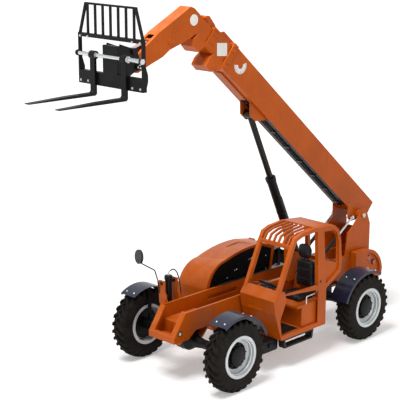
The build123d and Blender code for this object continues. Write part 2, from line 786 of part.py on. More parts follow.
# ---------------------------------------------------------------- slave cylinders
slave_x, slave_z = boom_point(*slave_eye)
slave_length = hypot(slave_x - slave_base[0], slave_z - slave_base[1])
slave_dir = Vector(slave_x - slave_base[0], 0, slave_z - slave_base[1]).normalized()
with BuildPart() as slave_barrels:
    for side in (1, -1):
        slave_plane = Plane(origin=(slave_base[0], side * slave_y, slave_base[1]), x_dir=slave_dir,
                            z_dir=(0, -1, 0))
        round_bar(slave_plane, 0, 560, 34)
        with BuildSketch(slave_plane):
            Circle(38)
        extrude(amount=30, both=True)
        with BuildSketch(slave_plane):
            Circle(slave_pin + pin_gap)
        extrude(amount=40, both=True, mode=Mode.SUBTRACT)
        round_bar(slave_plane, 60, 560, 20 + pin_gap, Mode.SUBTRACT)
save(slave_barrels, "slave_barrels")
with BuildPart() as slave_rods:
    for side in (1, -1):
        slave_plane = Plane(origin=(slave_base[0], side * slave_y, slave_base[1]), x_dir=slave_dir,
                            z_dir=(0, -1, 0))
        round_bar(slave_plane, slave_length - 850, slave_length, 20)
        with BuildSketch(slave_plane):
            with Locations((slave_length, 0)):
                Circle(38)
        extrude(amount=22, both=True)
        # its pin stops short of the boom's foot bracket
        with BuildSketch(slave_plane):
            with Locations((slave_length, 0)):
                Circle(22)
        extrude(amount=slave_y - outer_width / 2 - 12 - 5, both=True)
save(slave_rods, "slave_rods")

# ---------------------------------------------------------------- fork carriage
plate_back = 3303
plate_front = 3385
shank_top = shaft_z + 62
bar_count = 7
bar_pitch = 180
bar_thick = 32
backrest_half = 600
cheek_y = 150
cheek_half = 15
with BuildPart() as tilt_rod:
    round_bar(rod_plane, 100, rod_length, tilt_rod_radius)
    with BuildSketch(rod_plane):
        with Locations((rod_length, 0)):
            Circle(45)
    extrude(amount=35, both=True)
    # its pin stops short of the cheeks
    with BuildSketch(rod_plane):
        with Locations((rod_length, 0)):
            Circle(24)
    extrude(amount=cheek_y - cheek_half - 5, both=True)
save(tilt_rod, "tilt_rod")

side_outline = [
    (plate_front, carriage_bottom), (plate_front, carriage_top), (plate_front - 62, carriage_top),
    (plate_front - 62, 5620), (plate_front - 110, 5480), (plate_front - 110, 5380),
    (plate_front - 62, carriage_bottom),
]
with BuildPart() as fork_carriage:
    for side in (1, -1):
        with BuildSketch(facing_left(side * (carriage_half - 14))):
            with BuildLine():
                Polyline(*side_outline, close=True)
            make_face()
            with Locations((shaft_x, shaft_z)):
                Circle(48)
        extrude(amount=14, both=True)
        # cheeks that hang on the tilt pin
        with BuildSketch(facing_left(side * cheek_y)):
            with BuildLine():
                Polyline(
                    (tilt_x - 60, tilt_z - 60), (tilt_x + 60, tilt_z - 75), (plate_back, carriage_bottom + 60),
                    (plate_back, carriage_top - 120), (upper_pin[0] + 60, upper_pin[1] + 60),
                    (upper_pin[0] - 60, upper_pin[1] + 40), (tilt_x - 70, tilt_z + 30), close=True,
                )
            make_face()
        extrude(amount=cheek_half, both=True)
        # ends of the pins on the outside of the cheeks
        with BuildSketch(facing_left(side * 180)):
            with Locations((tilt_x, tilt_z), upper_pin):
                Circle(55)
        extrude(amount=20, both=True)
    with BuildSketch(Plane.XZ):
        with Locations((tilt_x, tilt_z)):
            Circle(35)
    extrude(amount=160, both=True)
    # lower plate, top rail and the back rest
    with Locations(((plate_back + plate_front) / 2, 0, carriage_bottom + 105)):
        Box(plate_front - plate_back, 2 * carriage_half, 210)
    with Locations(((plate_back + plate_front) / 2, 0, carriage_bottom + 370)):
        Box(plate_front - plate_back, 330, 560)
    with Locations((plate_front - 31, 0, carriage_top - 30)):
        Box(62, 2 * carriage_half, 60)
    with Locations((plate_front - 31, 0, backrest_top - bar_thick / 2)):
        Box(bar_thick, 2 * backrest_half, bar_thick)
    for i in range(bar_count):
        bar_y = (i - (bar_count - 1) / 2) * bar_pitch
        with Locations((plate_front - 31, bar_y, (carriage_top + backrest_top) / 2 - 10)):
            Box(bar_thick, bar_thick, backrest_top - carriage_top)
    for side in (1, -1):
        with BuildSketch(Plane.YZ.offset(plate_front - 31)):
            with BuildLine():
                Polyline(
                    (side * backrest_half, backrest_top), (side * (backrest_half - 45), backrest_top),
                    (side * (carriage_half - 45), carriage_top - 5), (side * carriage_half, carriage_top - 5),
                    close=True,
                )
            make_face()
        extrude(amount=bar_thick / 2, both=True)
    with Locations(Location((shaft_x, 0, shaft_z), (90, 0, 0))):
        Cylinder(shaft_radius + seat_gap, 3 * carriage_half, mode=Mode.SUBTRACT)
save(fork_carriage, "fork_carriage")

with BuildPart() as fork_shaft:
    with Locations(Location((shaft_x, 0, shaft_z), (90, 0, 0))):
        Cylinder(shaft_radius, 2 * carriage_half + 30)
    for side in (1, -1):
        with BuildSketch(facing_left(side * (carriage_half + 12))):
            with Locations((shaft_x, shaft_z)):
                RegularPolygon(46, 6)
        extrude(amount=10, both=True)
save(fork_shaft, "fork_shaft")

for name, side in (("fork_left", 1), ("fork_right", -1)):
    with BuildPart() as fork:
        with BuildSketch(facing_left(side * fork_half_spacing)):
            with BuildLine():
                Polyline(
                    (fork_heel_x, fork_under_z + 30), (fork_heel_x + 30, fork_under_z),
                    (fork_heel_x + fork_length, fork_under_z + 18),
                    (fork_heel_x + fork_length, fork_under_z + 30),
                    (fork_heel_x + 600, fork_under_z + fork_thick + 5),
                    (fork_heel_x + fork_thick + 25, fork_under_z + fork_thick + 5),
                    (fork_heel_x + fork_thick, fork_under_z + fork_thick + 30),
                    (fork_heel_x + fork_thick, shank_top), (fork_heel_x, shank_top), close=True,
                )
            make_face()
            with Locations((shaft_x, shaft_z)):
                Circle(66)
                Circle(shaft_radius + pin_gap, mode=Mode.SUBTRACT)
        extrude(amount=fork_width / 2, both=True)
    save(fork, name)

# ---------------------------------------------------------------- cab
cab_mid_y = (cab_inner_y + cab_outer_y) / 2
cab_half = (cab_outer_y - cab_inner_y) / 2
cowl_x = 775
cowl_z = 1330
sill_z = 570
floor_z = 640
panel = 25
post = 70
dash_x = 540                 # back face of the dash
dash_y = 700
seat_plate_front = 89
cab_outline = [
    (560, sill_z), (cowl_x - 40, 1080), (cowl_x, cowl_z), (cowl_x - 130, 1480), (-640, 1250), (-640, sill_z),
]
with BuildPart() as cab_body:
    # floor, cowl and back wall as one bent tub, open to the left above the sill
    with BuildSketch(facing_left(cab_mid_y)):
        with BuildLine():
            Polyline(*cab_outline, close=True)
        make_face()
    extrude(amount=cab_half, both=True)
    with BuildSketch(facing_left(cab_mid_y)):
        with BuildLine():
            Polyline(
                (575, floor_z), (cowl_x - 70, 1080), (cowl_x - 30, cowl_z - 5), (cowl_x - 140, 1440),
                (cowl_x - 260, 1520), (-640 + panel, 1520), (-640 + panel, floor_z), close=True,
            )
        make_face()
    extrude(amount=cab_half - panel, both=True, mode=Mode.SUBTRACT)
    # the doorway through the left wall
    with BuildSketch(facing_left(cab_outer_y)):
        with BuildLine():
            Polyline(
                (560, floor_z + 10), (600, 950), (440, 1280), (560, 1600), (-420, 1600), (-420, floor_z + 10),
                close=True,
            )
        make_face()
    extrude(amount=panel + 10, both=True, mode=Mode.SUBTRACT)
    # brackets to the frame's side plate
    for x in (-560, 480):
        with Locations((x, (cab_inner_y + frame_outer_y) / 2, 700)):
            Box(120, cab_inner_y - frame_outer_y, 120)
    # dash under the steering wheel
    with Locations(((dash_x + 745) / 2, dash_y, 1190)):
        Box(745 - dash_x, 320, 200)
save(cab_body, "cab_body")

roof_line = [
    (700, 1398), (335, 2185), (235, 2360), (60, 2415), (-290, 2440), (-840, 2385), (-960, 2290),
    (-1030, 2080), (-1066, 1640), (-1040, 1470), (-640, 1252),
]
with BuildPart() as cab_rops:
    for y in (cab_inner_y + post / 2, cab_outer_y - post / 2):
        with BuildSketch(facing_left(y)):
            with BuildLine():
                Polyline(*roof_line, close=True)
            make_face()
            with BuildLine():
                Polyline(
                    (620, 1380), (270, 2150), (190, 2300), (50, 2345), (-290, 2370), (-820, 2316), (-905, 2240),
                    (-965, 2060), (-996, 1650), (-975, 1520), (-640, 1340), close=True,
                )
            make_face(mode=Mode.SUBTRACT)
        extrude(amount=post / 2, both=True)
        # middle post
        with BuildSketch(facing_left(y)):
            with BuildLine():
                Polyline((-420, 1252), (-360, 2400), (-540, 2390), (-640, 1252), close=True)
            make_face()
        extrude(amount=post / 2, both=True)
        # panel behind the door, with the rear side window cut in it
        with BuildSketch(facing_left(y)):
            with BuildLine():
                Polyline(
                    (-600, 1290), (-540, 2360), (-840, 2330), (-920, 2260), (-990, 2060), (-1015, 1640),
                    (-1000, 1490), close=True,
                )
            make_face()
            with BuildLine():
                Polyline((-590, 2310), (-820, 2285), (-925, 2180), (-940, 1665), (-590, 1800), close=True)
            make_face(mode=Mode.SUBTRACT)
        extrude(amount=3, both=True)
    for x, z in ((302, 2200), (-955, 2235), (-1025, 1620)):
        with Locations((x, cab_mid_y, z)):
            Box(60, 2 * cab_half - 2 * post, 60)
    for i in range(6):
        y = cab_inner_y + post + (i + 0.5) * (2 * cab_half - 2 * post) / 6
        with BuildSketch(facing_left(y)):
            with BuildLine():
                Polyline(
                    (320, 2215), (235, 2345), (60, 2400), (-290, 2425), (-330, 2425), (-330, 2390), (-290, 2390),
                    (50, 2365), (205, 2315), (285, 2200), close=True,
                )
            make_face()
        extrude(amount=15, both=True)
    add(cab_body.part, mode=Mode.SUBTRACT)
save(cab_rops, "cab_rops")

with BuildPart() as cab_roof:
    with BuildSketch(facing_left(cab_mid_y)):
        with BuildLine():
            Polyline(
                (-330.3, 2437), (-840, 2385), (-950, 2320), (-950, 2295), (-840, 2360), (-330.3, 2412), close=True,
            )
        make_face()
    extrude(amount=cab_half - post - seat_gap, both=True)
save(cab_roof, "cab_roof")

with BuildPart() as seat_base:
    with Locations((-330, cab_mid_y, (floor_z + 1060) / 2)):
        Box(480, 480, 1060 - floor_z)
    # locker beside the seat, and the plate on top of it
    with Locations((-232, 770, (floor_z + 1017) / 2)):
        Box(396, 670, 1017 - floor_z)
    with Locations(((seat_plate_front - 570) / 2, 770, 1038)):
        Box(seat_plate_front + 570, 670, 44)
save(seat_base, "seat_base")
with BuildPart() as grab_handle:
    with BuildLine() as handle_path:
        with BuildLine(facing_left(1105)):
            FilletPolyline((-154, 1060 + seat_gap), (-154, 1195), (-448, 1205), (-448, 1252 - seat_gap), radius=24)
    with BuildSketch(Plane(origin=handle_path.line @ 0, z_dir=handle_path.line % 0)):
        Circle(13)
    sweep(path=handle_path.line)
save(grab_handle, "grab_handle")
with BuildPart() as seat_cushion:
    with Locations((-320, cab_mid_y, 1060 + seat_gap + 64)):
        Box(480, 470, 128)
    fillet(seat_cushion.edges().filter_by(Axis.Z), 50)
save(seat_cushion, "seat_cushion")
with BuildPart() as seat_back:
    with BuildSketch(Plane.YZ.offset(-600)):
        with Locations((cab_mid_y, 1480)):
            RectangleRounded(460, 570, 80)
    extrude(amount=110)
    # headrest
    with BuildSketch(Plane.YZ.offset(-560)):
        with Locations((cab_mid_y, 1895)):
            Circle(150)
    extrude(amount=130)
    # bracket down the back of the seat's base
    with Locations((-585 - seat_gap / 2, cab_mid_y, 1080)):
        Box(30 - seat_gap, 260, 260)
save(seat_back, "seat_back")

wheel_place = Plane(origin=(400, dash_y, 1470), x_dir=(0.87, 0, 0.5), z_dir=(-0.5, 0, 0.87))
with BuildPart(mode=Mode.PRIVATE) as wheel_ring:
    with BuildSketch(Plane.XZ):
        with Locations((180, 0)):
            RegularPolygon(17, 8)
    revolve(axis=Axis.Z)
with BuildPart() as steering_wheel:
    with Locations(wheel_place.location):
        add(wheel_ring.part)
        Cylinder(40, 40)
        Box(340, 30, 12)
        Box(30, 340, 12)
    with Locations(wheel_place.offset(-150).location):
        Cylinder(28, 290)
    with Locations((dash_x - seat_gap + 100, dash_y, 1200)):
        Box(200, 200, 300, mode=Mode.SUBTRACT)
save(steering_wheel, "steering_wheel")

with BuildPart() as step_box:
    with BuildSketch(facing_left(1090)):
        with BuildLine():
            Polyline((500, sill_z - seat_gap), (470, 400), (-280, 400), (-310, sill_z - seat_gap), close=True)
        make_face()
        with BuildLine():
            Polyline((455, 545), (432, 430), (-242, 430), (-265, 545), close=True)
        make_face(mode=Mode.SUBTRACT)
    extrude(amount=70, both=True)
save(step_box, "step_box")

# ---------------------------------------------------------------- engine side
hood_front = 850
hood_rear = -1000            # rear edge of the hood's roof
base_rear = -900             # rear wall of the fixed sides
hood_split_z = 1180          # the hood lifts off the fixed sides here
hood_skin = 25
hood_edge = 110              # rounding of the roof's outer edge
hinge_x = -1030              # hood hinge
hinge_z = 1640
hinge_radius = 20
hinge_pin = 10
hinge_ys = (-560, -1020)
hood_mid_y = (hood_inner_y + hood_outer_y) / 2
hood_half = (hood_inner_y - hood_outer_y) / 2

# the roof at both sides: place across, how far it has come down, inset
shell_sections = [(hood_inner_y, 0, 0), (hood_outer_y, 95, 0)]
cavity_sections = [(hood_inner_y - hood_skin, 3, hood_skin), (hood_outer_y + hood_skin, 92, hood_skin)]
shells = []
for sections, radius in ((shell_sections, hood_edge), (cavity_sections, hood_edge - hood_skin)):
    with BuildPart() as shell:
        for y, drop, inset in sections:
            below = hood_split_z - inset
            behind = inset
            with BuildSketch(facing_left(y)):
                with BuildLine():
                    shoulder = (366, 1659 - drop - inset)
                    ThreePointArc((hood_front - inset, below), (745 - inset, 1440 - 0.6 * drop - inset / 2), shoulder)
                    crown = (-640, 1770 - 0.7 * drop - inset)
                    ThreePointArc(shoulder, (-113, 1762 - 0.85 * drop - inset), crown)
                    Polyline(crown, (hood_rear - behind, 1655 - 0.1 * drop - inset), (base_rear - behind, below),
                             (hood_front - inset, below))
                make_face()
        loft()
        rounded = shell.edges().filter_by_position(Axis.Y, sections[1][0] - 1, sections[1][0] + 1)
        rounded = rounded.filter_by(lambda e: e.center().Z > hood_split_z + 20 and e.center().X > base_rear - 60)
        fillet(rounded, radius)
    shells.append(shell.part)

# grille window in the inner wall
window_outline = [(765, 1210), (678, 1428), (352, 1612), (-113, 1716), (-640, 1720), (-915, 1612), (-850, 1210)]
with BuildPart() as hood:
    add(shells[0])
    add(shells[1], mode=Mode.SUBTRACT)
    with BuildSketch(facing_left(hood_inner_y - hood_skin / 2)):
        with BuildLine():
            ThreePointArc(*window_outline[0:3])
            ThreePointArc(*window_outline[2:5])
            Polyline(*window_outline[4:7], window_outline[0])
        make_face()
    extrude(amount=hood_skin, both=True, mode=Mode.SUBTRACT)
    # shallow recess in the roof
    with Locations(Location((-295, -682, 1765), (5.9, 3.3, 0))):
        Box(370, 315, 60, mode=Mode.SUBTRACT)
    # hinge knuckles on the rear edge
    for y in hinge_ys:
        with Locations((hinge_x + 22, y, hinge_z)):
            Box(44, 100, 14)
        with Locations(Location((hinge_x, y, hinge_z), (90, 0, 0))):
            Cylinder(hinge_radius, 100)
            Cylinder(hinge_pin + pin_gap, 120, mode=Mode.SUBTRACT)
save(hood, "hood")

with BuildPart() as hood_grille:
    with BuildSketch(facing_left(hood_inner_y - hood_skin - seat_gap - 3)):
        with BuildLine():
            ThreePointArc(*window_outline[0:3])
            ThreePointArc(*window_outline[2:5])
            Polyline(*window_outline[4:7], window_outline[0])
        make_face()
        offset(amount=12)
    extrude(amount=3, both=True)
    # slats in the window
    with BuildSketch(facing_left(hood_inner_y - hood_skin / 2 - seat_gap - 3)):
        for i in range(11):
            with Locations((-50, 1235 + 44 * i)):
                Rectangle(2400, 12)
        with BuildLine():
            ThreePointArc(*window_outline[0:3])
            ThreePointArc(*window_outline[2:5])
            Polyline(*window_outline[4:7], window_outline[0])
        make_face(mode=Mode.INTERSECT)
        offset(amount=-1)
    extrude(amount=hood_skin / 2 + 3, both=True)
save(hood_grille, "hood_grille")

base_bottom = 620
with BuildPart() as hood_base:
    middle_x = (hood_front + base_rear) / 2
    height = hood_split_z - seat_gap - base_bottom
    with Locations((middle_x, hood_mid_y, base_bottom + height / 2)):
        Box(hood_front - base_rear, 2 * hood_half, height)
    fillet(hood_base.edges().filter_by(Axis.Z).sort_by(Axis.Y)[0:2], 60)
    with Locations((middle_x, hood_mid_y, base_bottom + hood_skin + height / 2)):
        Box(hood_front - base_rear - 2 * hood_skin, 2 * (hood_half - hood_skin), height, mode=Mode.SUBTRACT)
    # rear bulkhead behind the hood, with the hinge's ears and pins
    with BuildSketch(facing_left(hood_mid_y)):
        with BuildLine():
            Polyline(
                (base_rear + 15, 1100), (base_rear - 15, 1100), (hood_rear - 15, 1625), (hood_rear - 2, 1625),
                (base_rear - 1, hood_split_z), (base_rear + 15, hood_split_z - 2), close=True,
            )
        make_face()
    extrude(amount=hood_half - 20, both=True)
    for y in hinge_ys:
        for step in (1, -1):
            with BuildSketch(facing_left(y + step * 65)):
                with BuildLine():
                    Polyline(
                        (hood_rear - 14, 1622), (hinge_x + 12, hinge_z + 18), (hinge_x - 14, hinge_z + 12),
                        (hinge_x - 14, 1570), (hood_rear - 25, 1520), close=True,
                    )
                make_face()
            extrude(amount=7, both=True)
        with Locations(Location((hinge_x, y, hinge_z), (90, 0, 0))):
            Cylinder(hinge_pin, 130)
    # brackets to the frame's side plate
    for x in (-700, 600):
        with Locations((x, (hood_inner_y - frame_outer_y) / 2, 780)):
            Box(120, -hood_inner_y - frame_outer_y, 160)
save(hood_base, "hood_base")
with BuildPart() as engine_block:
    with Locations((-100, -760, base_bottom + hood_skin + 290)):
        Box(1100, 560, 580 - 2 * seat_gap)
save(engine_block, "engine_block")

mirror_foot = (axle_front_x + upright_offset + upright_thick / 2 + 11 + seat_gap, -505, 1380)
with BuildPart() as mirror:
    with BuildSketch(Plane(origin=(2130, -800, 2020), z_dir=(-1, 0.25, -0.1))):
        Circle(125)
    extrude(amount=40)
    with BuildLine():
        FilletPolyline(mirror_foot, (1930, -515, 1600), (1960, -560, 1790), (2080, -740, 1890),
                       (2140, -800, 1960), radius=60)
    with BuildSketch(Plane(origin=mirror_foot, z_dir=(16.5, -10, 220))):
        Circle(11)
    sweep()
save(mirror, "mirror")
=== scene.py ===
# %% [markdown]
# # A rough-terrain telehandler
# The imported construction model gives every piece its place. This file gives each piece its finish, and adds
# what is too fine for the construction: tyre tread, bolts, a hose, padding, lamps' glass and the driver's
# controls.
# Everything is in metres. X is forward, Y is the machine's left and Z is up.

# %% Load the frame
import bmesh
import bpy
import json
import numpy as np
from math import cos, pi, radians, sin
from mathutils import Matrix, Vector


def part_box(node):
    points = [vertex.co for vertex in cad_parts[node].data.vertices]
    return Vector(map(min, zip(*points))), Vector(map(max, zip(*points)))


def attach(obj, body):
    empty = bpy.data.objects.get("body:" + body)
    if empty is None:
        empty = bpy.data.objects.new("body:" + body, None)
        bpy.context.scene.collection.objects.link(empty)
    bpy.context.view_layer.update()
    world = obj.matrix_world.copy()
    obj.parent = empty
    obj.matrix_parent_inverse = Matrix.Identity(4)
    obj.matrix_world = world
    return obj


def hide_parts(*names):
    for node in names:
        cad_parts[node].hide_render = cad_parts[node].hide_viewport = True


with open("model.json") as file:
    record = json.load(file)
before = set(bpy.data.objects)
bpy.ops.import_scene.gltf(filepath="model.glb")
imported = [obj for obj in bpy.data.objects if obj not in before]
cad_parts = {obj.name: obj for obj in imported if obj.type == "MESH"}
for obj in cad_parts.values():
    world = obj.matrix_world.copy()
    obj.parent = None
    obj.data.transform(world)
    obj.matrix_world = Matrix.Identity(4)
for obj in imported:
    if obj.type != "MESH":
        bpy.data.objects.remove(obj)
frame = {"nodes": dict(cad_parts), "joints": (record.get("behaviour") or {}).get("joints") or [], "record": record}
nodes = frame["nodes"]
body_of_node = {node: body for body, names in frame["record"]["behaviour"]["bodies"].items() for node in names}
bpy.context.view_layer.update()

# %% [markdown]
# ## Helpers for shapes
# Most small pieces here are surfaces of a few rules: a profile turned about an axis, a flat outline given a
# thickness, or a circle carried along a path. Each rule is one function that returns points and faces, and
# `piece` turns such a pair into a mesh object that rides on a body of the machine.

# %% Shape helpers


def grid_faces(rows, columns, closed_rows, closed_columns):
    """Quads on a grid of points: cell (i, j) joins points (i, j), (i+1, j), (i+1, j+1) and (i, j+1)."""
    index = np.arange(rows * columns).reshape(rows, columns)
    if closed_rows:
        index = np.vstack([index, index[:1]])
    if closed_columns:
        index = np.hstack([index, index[:, :1]])
    cells = [index[:-1, :-1], index[1:, :-1], index[1:, 1:], index[:-1, 1:]]
    return np.stack(cells, -1).reshape(-1, 4).tolist()


def lathe(profile, sides=32, ring=False):
    """A profile of (radius, height) turned about Z: (r cos a, r sin a, h). Its ends are capped, but a ring's
    profile closes on itself."""
    r, h = np.array(profile, float).T
    a = np.linspace(0, 2 * pi, sides, endpoint=False)[:, None]
    points = np.stack([r * np.cos(a), r * np.sin(a), h + 0 * a], -1).reshape(-1, 3)
    if ring:
        return points, grid_faces(sides, len(r), True, True)
    ends = np.arange(sides) * len(r)
    return points, grid_faces(sides, len(r), True, False) + [ends[::-1].tolist(), (ends + len(r) - 1).tolist()]


def disc(radius, height, sides=28):
    """A plain round disc that stands on Z = 0."""
    return lathe([(0.001, 0), (radius, 0), (radius, height), (0.001, height)], sides)


def plate(outline, thickness):
    """A flat outline in X and Y, raised by its thickness along Z."""
    flat = np.array(outline, float)
    n = len(flat)
    low = np.column_stack([flat, np.zeros(n)])
    high = np.column_stack([flat, np.full(n, thickness)])
    around = [[i, (i + 1) % n, (i + 1) % n + n, i + n] for i in range(n)]
    return np.vstack([low, high]), around + [list(range(n))[::-1], list(range(n, 2 * n))]


def block(x, y, z):
    """A box of these sizes, centred on X and Y, standing on Z = 0."""
    return plate([(-x / 2, -y / 2), (x / 2, -y / 2), (x / 2, y / 2), (-x / 2, y / 2)], z)


print("shapes ready")

# %% [markdown]
# ## Helpers for paths and placing
# Pipes are a circle carried along a path. Every shape is drawn at zero and then turned and moved to its
# place, and several shapes can be one mesh.

# %% Path and placing helpers


def smooth_path(points, per_run=8):
    """Points on a smooth line through the given ones, by the Catmull-Rom formula."""
    p = np.array(points, float)
    p = np.vstack([2 * p[0] - p[1], p, 2 * p[-1] - p[-2]])
    t = np.linspace(0, 1, per_run, endpoint=False)[:, None]
    runs = [
        0.5 * (2 * b + (c - a) * t + (2 * a - 5 * b + 4 * c - d) * t**2 + (3 * b - a - 3 * c + d) * t**3)
        for a, b, c, d in zip(p, p[1:], p[2:], p[3:])
    ]
    return np.vstack(runs + [p[-2:-1]])


def tube(path, radius, sides=10):
    """A circle carried along a path. Its frame turns as little as it can from one point to the next."""
    p = np.array(path, float)
    run = np.gradient(p, axis=0)
    run /= np.linalg.norm(run, axis=1)[:, None]
    side = np.cross(run[0], (0.31, 0.17, 0.93))
    sideways = []
    for t in run:
        side = side - t * side.dot(t)
        side /= np.linalg.norm(side)
        sideways.append(side)
    sideways = np.array(sideways)
    upward = np.cross(run, sideways)
    a = np.linspace(0, 2 * pi, sides, endpoint=False)[:, None, None]
    r = np.broadcast_to(radius, len(p))[None, :, None]
    points = p + r * (np.cos(a) * sideways + np.sin(a) * upward)
    faces = grid_faces(sides, len(p), True, False)
    ring = np.arange(sides) * len(p)
    return points.reshape(-1, 3), faces + [ring[::-1].tolist(), (ring + len(p) - 1).tolist()]


def placed(shape, origin, z_dir=(0, 0, 1), x_dir=(1, 0, 0)):
    """The shape with its Z along z_dir, its X as near x_dir as it can be, and its zero at the origin given."""
    z = np.array(z_dir, float) / np.linalg.norm(z_dir)
    x = np.array(x_dir, float) - z * np.dot(x_dir, z)
    if np.linalg.norm(x) < 1e-6:
        x = np.cross(z, (0.3, 0.9, 0.1))
    x /= np.linalg.norm(x)
    return shape[0] @ np.array([x, np.cross(z, x), z]) + np.array(origin, float), shape[1]


def joined(shapes):
    """Several shapes as one list of points and one list of faces."""
    points, faces, count = [], [], 0
    for shape_points, shape_faces in shapes:
        points.append(shape_points)
        faces += [[i + count for i in face] for face in shape_faces]
        count += len(shape_points)
    return np.vstack(points), faces


def piece(name, shape, material, body, smooth=35):
    """Makes a mesh object of the shape, with its faces outwards, and lets it ride on the body."""
    mesh = bpy.data.meshes.new(name)
    mesh.from_pydata(shape[0].tolist(), [], shape[1])
    mesh.validate()
    made = bpy.data.objects.new(name, mesh)
    bpy.context.scene.collection.objects.link(made)
    outward(mesh)
    mesh.shade_smooth()
    mesh.set_sharp_from_angle(angle=radians(smooth))
    mesh.materials.append(material)
    if body:
        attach(made, body)
    return made


def outward(mesh):
    """Turns every face of a closed shape outwards."""
    work = bmesh.new()
    work.from_mesh(mesh)
    bmesh.ops.recalc_face_normals(work, faces=work.faces)
    work.to_mesh(mesh)
    work.free()


print("placing helpers ready")

# %% [markdown]
# ## Helpers for finishes
# A finish is a small tree of nodes. Colours are written as they look on a screen, and one function turns
# them to the linear values that light is counted in. One function adds a node.

# %% Finish helpers


def linear(code):
    """A colour written as a hex code, as linear red, green, blue and alpha: below 0.04045 it is divided by
    12.92, above it the value plus 0.055 over 1.055 is raised to 2.4."""
    parts = [int(code[i:i + 2], 16) / 255 for i in (1, 3, 5)]
    return (*[c / 12.92 if c <= 0.04045 else ((c + 0.055) / 1.055) ** 2.4 for c in parts], 1)


def add(tree, kind, inputs=None, out=0, **settings):
    """Adds a node and gives one of its outputs. inputs maps a socket's name or number to a value, or to the
    output of another node."""
    made = tree.nodes.new("ShaderNode" + kind)
    for name, value in settings.items():
        setattr(made, name, value)
    for socket, value in (inputs or {}).items():
        if isinstance(value, bpy.types.NodeSocket):
            tree.links.new(value, made.inputs[socket])
        else:
            made.inputs[socket].default_value = value
    return made.outputs[out]


def new_finish(name, **values):
    """A material whose Principled shader has these plain values by socket name, its tree, and its object
    coordinates."""
    material = bpy.data.materials.new(name)
    material.use_nodes = True
    tree = material.node_tree
    for socket, value in values.items():
        tree.nodes["Principled BSDF"].inputs[socket.replace("_", " ")].default_value = value
    return material, tree, add(tree, "TexCoord", out="Object")


def wire(tree, **values):
    """Links each value to the Principled shader's socket of that name."""
    for socket, value in values.items():
        tree.links.new(value, tree.nodes["Principled BSDF"].inputs[socket.replace("_", " ")])


def clouds(tree, place, per_metre, detail, low, high, most=1.0):
    """Noise as a mask with soft edges: 0 where it is below low, rising to most where it is above high."""
    blots = add(tree, "TexNoise", {"Vector": place, "Scale": per_metre, "Detail": detail})
    return add(tree, "MapRange", {0: blots, 1: low, 2: high, 4: most})


print("finish helpers ready")

# %% [markdown]
# ## Painted plate
# A machine like this is cut and bent from steel plate, primed and sprayed with a two-pack enamel. The eye
# sees a strong colour under a thin gloss, faint waves left by rolling and welding, pale dust on what faces
# up, and soft vertical stains. One function makes every paint from its colour, its dust and how dull it is.

# %% Paints


def paint(name, colour, dust, dull=0.32, dusty=0.35, stained=0.25, waves=0.004, coat=0.08, shine=0.22):
    """Enamel on steel. Large noise shifts the shade, dust gathers where a face looks up, streaks run down."""
    material, tree, place = new_finish(name, Coat_Weight=coat, Coat_Roughness=0.12, Specular_IOR_Level=shine)
    plain = linear(colour)
    deep, stain = (tuple(part * c for c in plain[:3]) + (1,) for part in (0.78, 0.45))
    shade = clouds(tree, place, 1.6, 3, 0.3, 0.7)
    base = add(tree, "Mix", {0: shade, 6: deep, 7: plain}, 2, data_type="RGBA")
    upright = add(tree, "Mapping", {"Vector": place, "Scale": (1, 1, 0.12)})
    streaks = clouds(tree, upright, 14, 6, 0.52, 0.75, stained)
    base = add(tree, "Mix", {0: streaks, 6: base, 7: stain}, 2, data_type="RGBA")
    upward = add(tree, "SeparateXYZ", {0: add(tree, "NewGeometry", out="Normal")}, 2)
    lying = add(tree, "MapRange", {0: upward, 1: 0.15, 2: 0.95, 4: dusty})
    layer = add(tree, "Math", {0: lying, 1: clouds(tree, place, 5, 8, 0.35, 0.72)}, operation="MULTIPLY")
    base = add(tree, "Mix", {0: layer, 6: base, 7: linear(dust)}, 2, data_type="RGBA")
    small = add(tree, "TexNoise", {"Vector": place, "Scale": 22, "Detail": 5})
    gloss = add(tree, "MapRange", {0: small, 1: 0.3, 2: 0.8, 3: dull - 0.06, 4: dull + 0.12})
    half_layer = add(tree, "Math", {0: layer, 1: 0.5}, operation="MULTIPLY")
    rough = add(tree, "Math", {0: gloss, 1: half_layer}, operation="ADD")
    # plate waves about 200 mm long, and the fine skin of sprayed paint drawn coarse enough to show
    wave = add(tree, "TexNoise", {"Vector": place, "Scale": 5, "Detail": 2})
    bump = add(tree, "Bump", {"Height": wave, "Strength": 0.6, "Distance": waves})
    fine = add(tree, "TexNoise", {"Vector": place, "Scale": 120, "Detail": 2})
    skin = add(tree, "Bump", {"Height": fine, "Strength": 0.25, "Distance": 0.0006, "Normal": bump})
    wire(tree, Base_Color=base, Roughness=rough, Normal=skin)
    return material


orange_enamel = paint("orange_enamel_on_steel", "#C0560A", "#E0A67C", dusty=0.18, waves=0.003, coat=0.05,
                      shine=0.14)
slate_enamel = paint("slate_enamel_on_sheet_steel", "#1A2036", "#4C4F5C", dull=0.3, dusty=0.14, coat=0.25)
black_enamel = paint("black_enamel_on_steel", "#0B0B0C", "#38342F", dull=0.42, dusty=0.14, stained=0.1,
                     coat=0.0, shine=0.16)
silver_enamel = paint("silver_enamel_on_wheel_steel", "#D2D6D8", "#A29A8C", dull=0.34, dusty=0.15,
                      stained=0.22, shine=0.5)
silver_enamel.node_tree.nodes["Principled BSDF"].inputs["Metallic"].default_value = 0.2
white_enamel = paint("white_vinyl_film", "#F2F0EA", "#D8D0C2", dull=0.4, dusty=0.2, stained=0.05, waves=0.0005)
print("paints:", [m.name for m in bpy.data.materials])
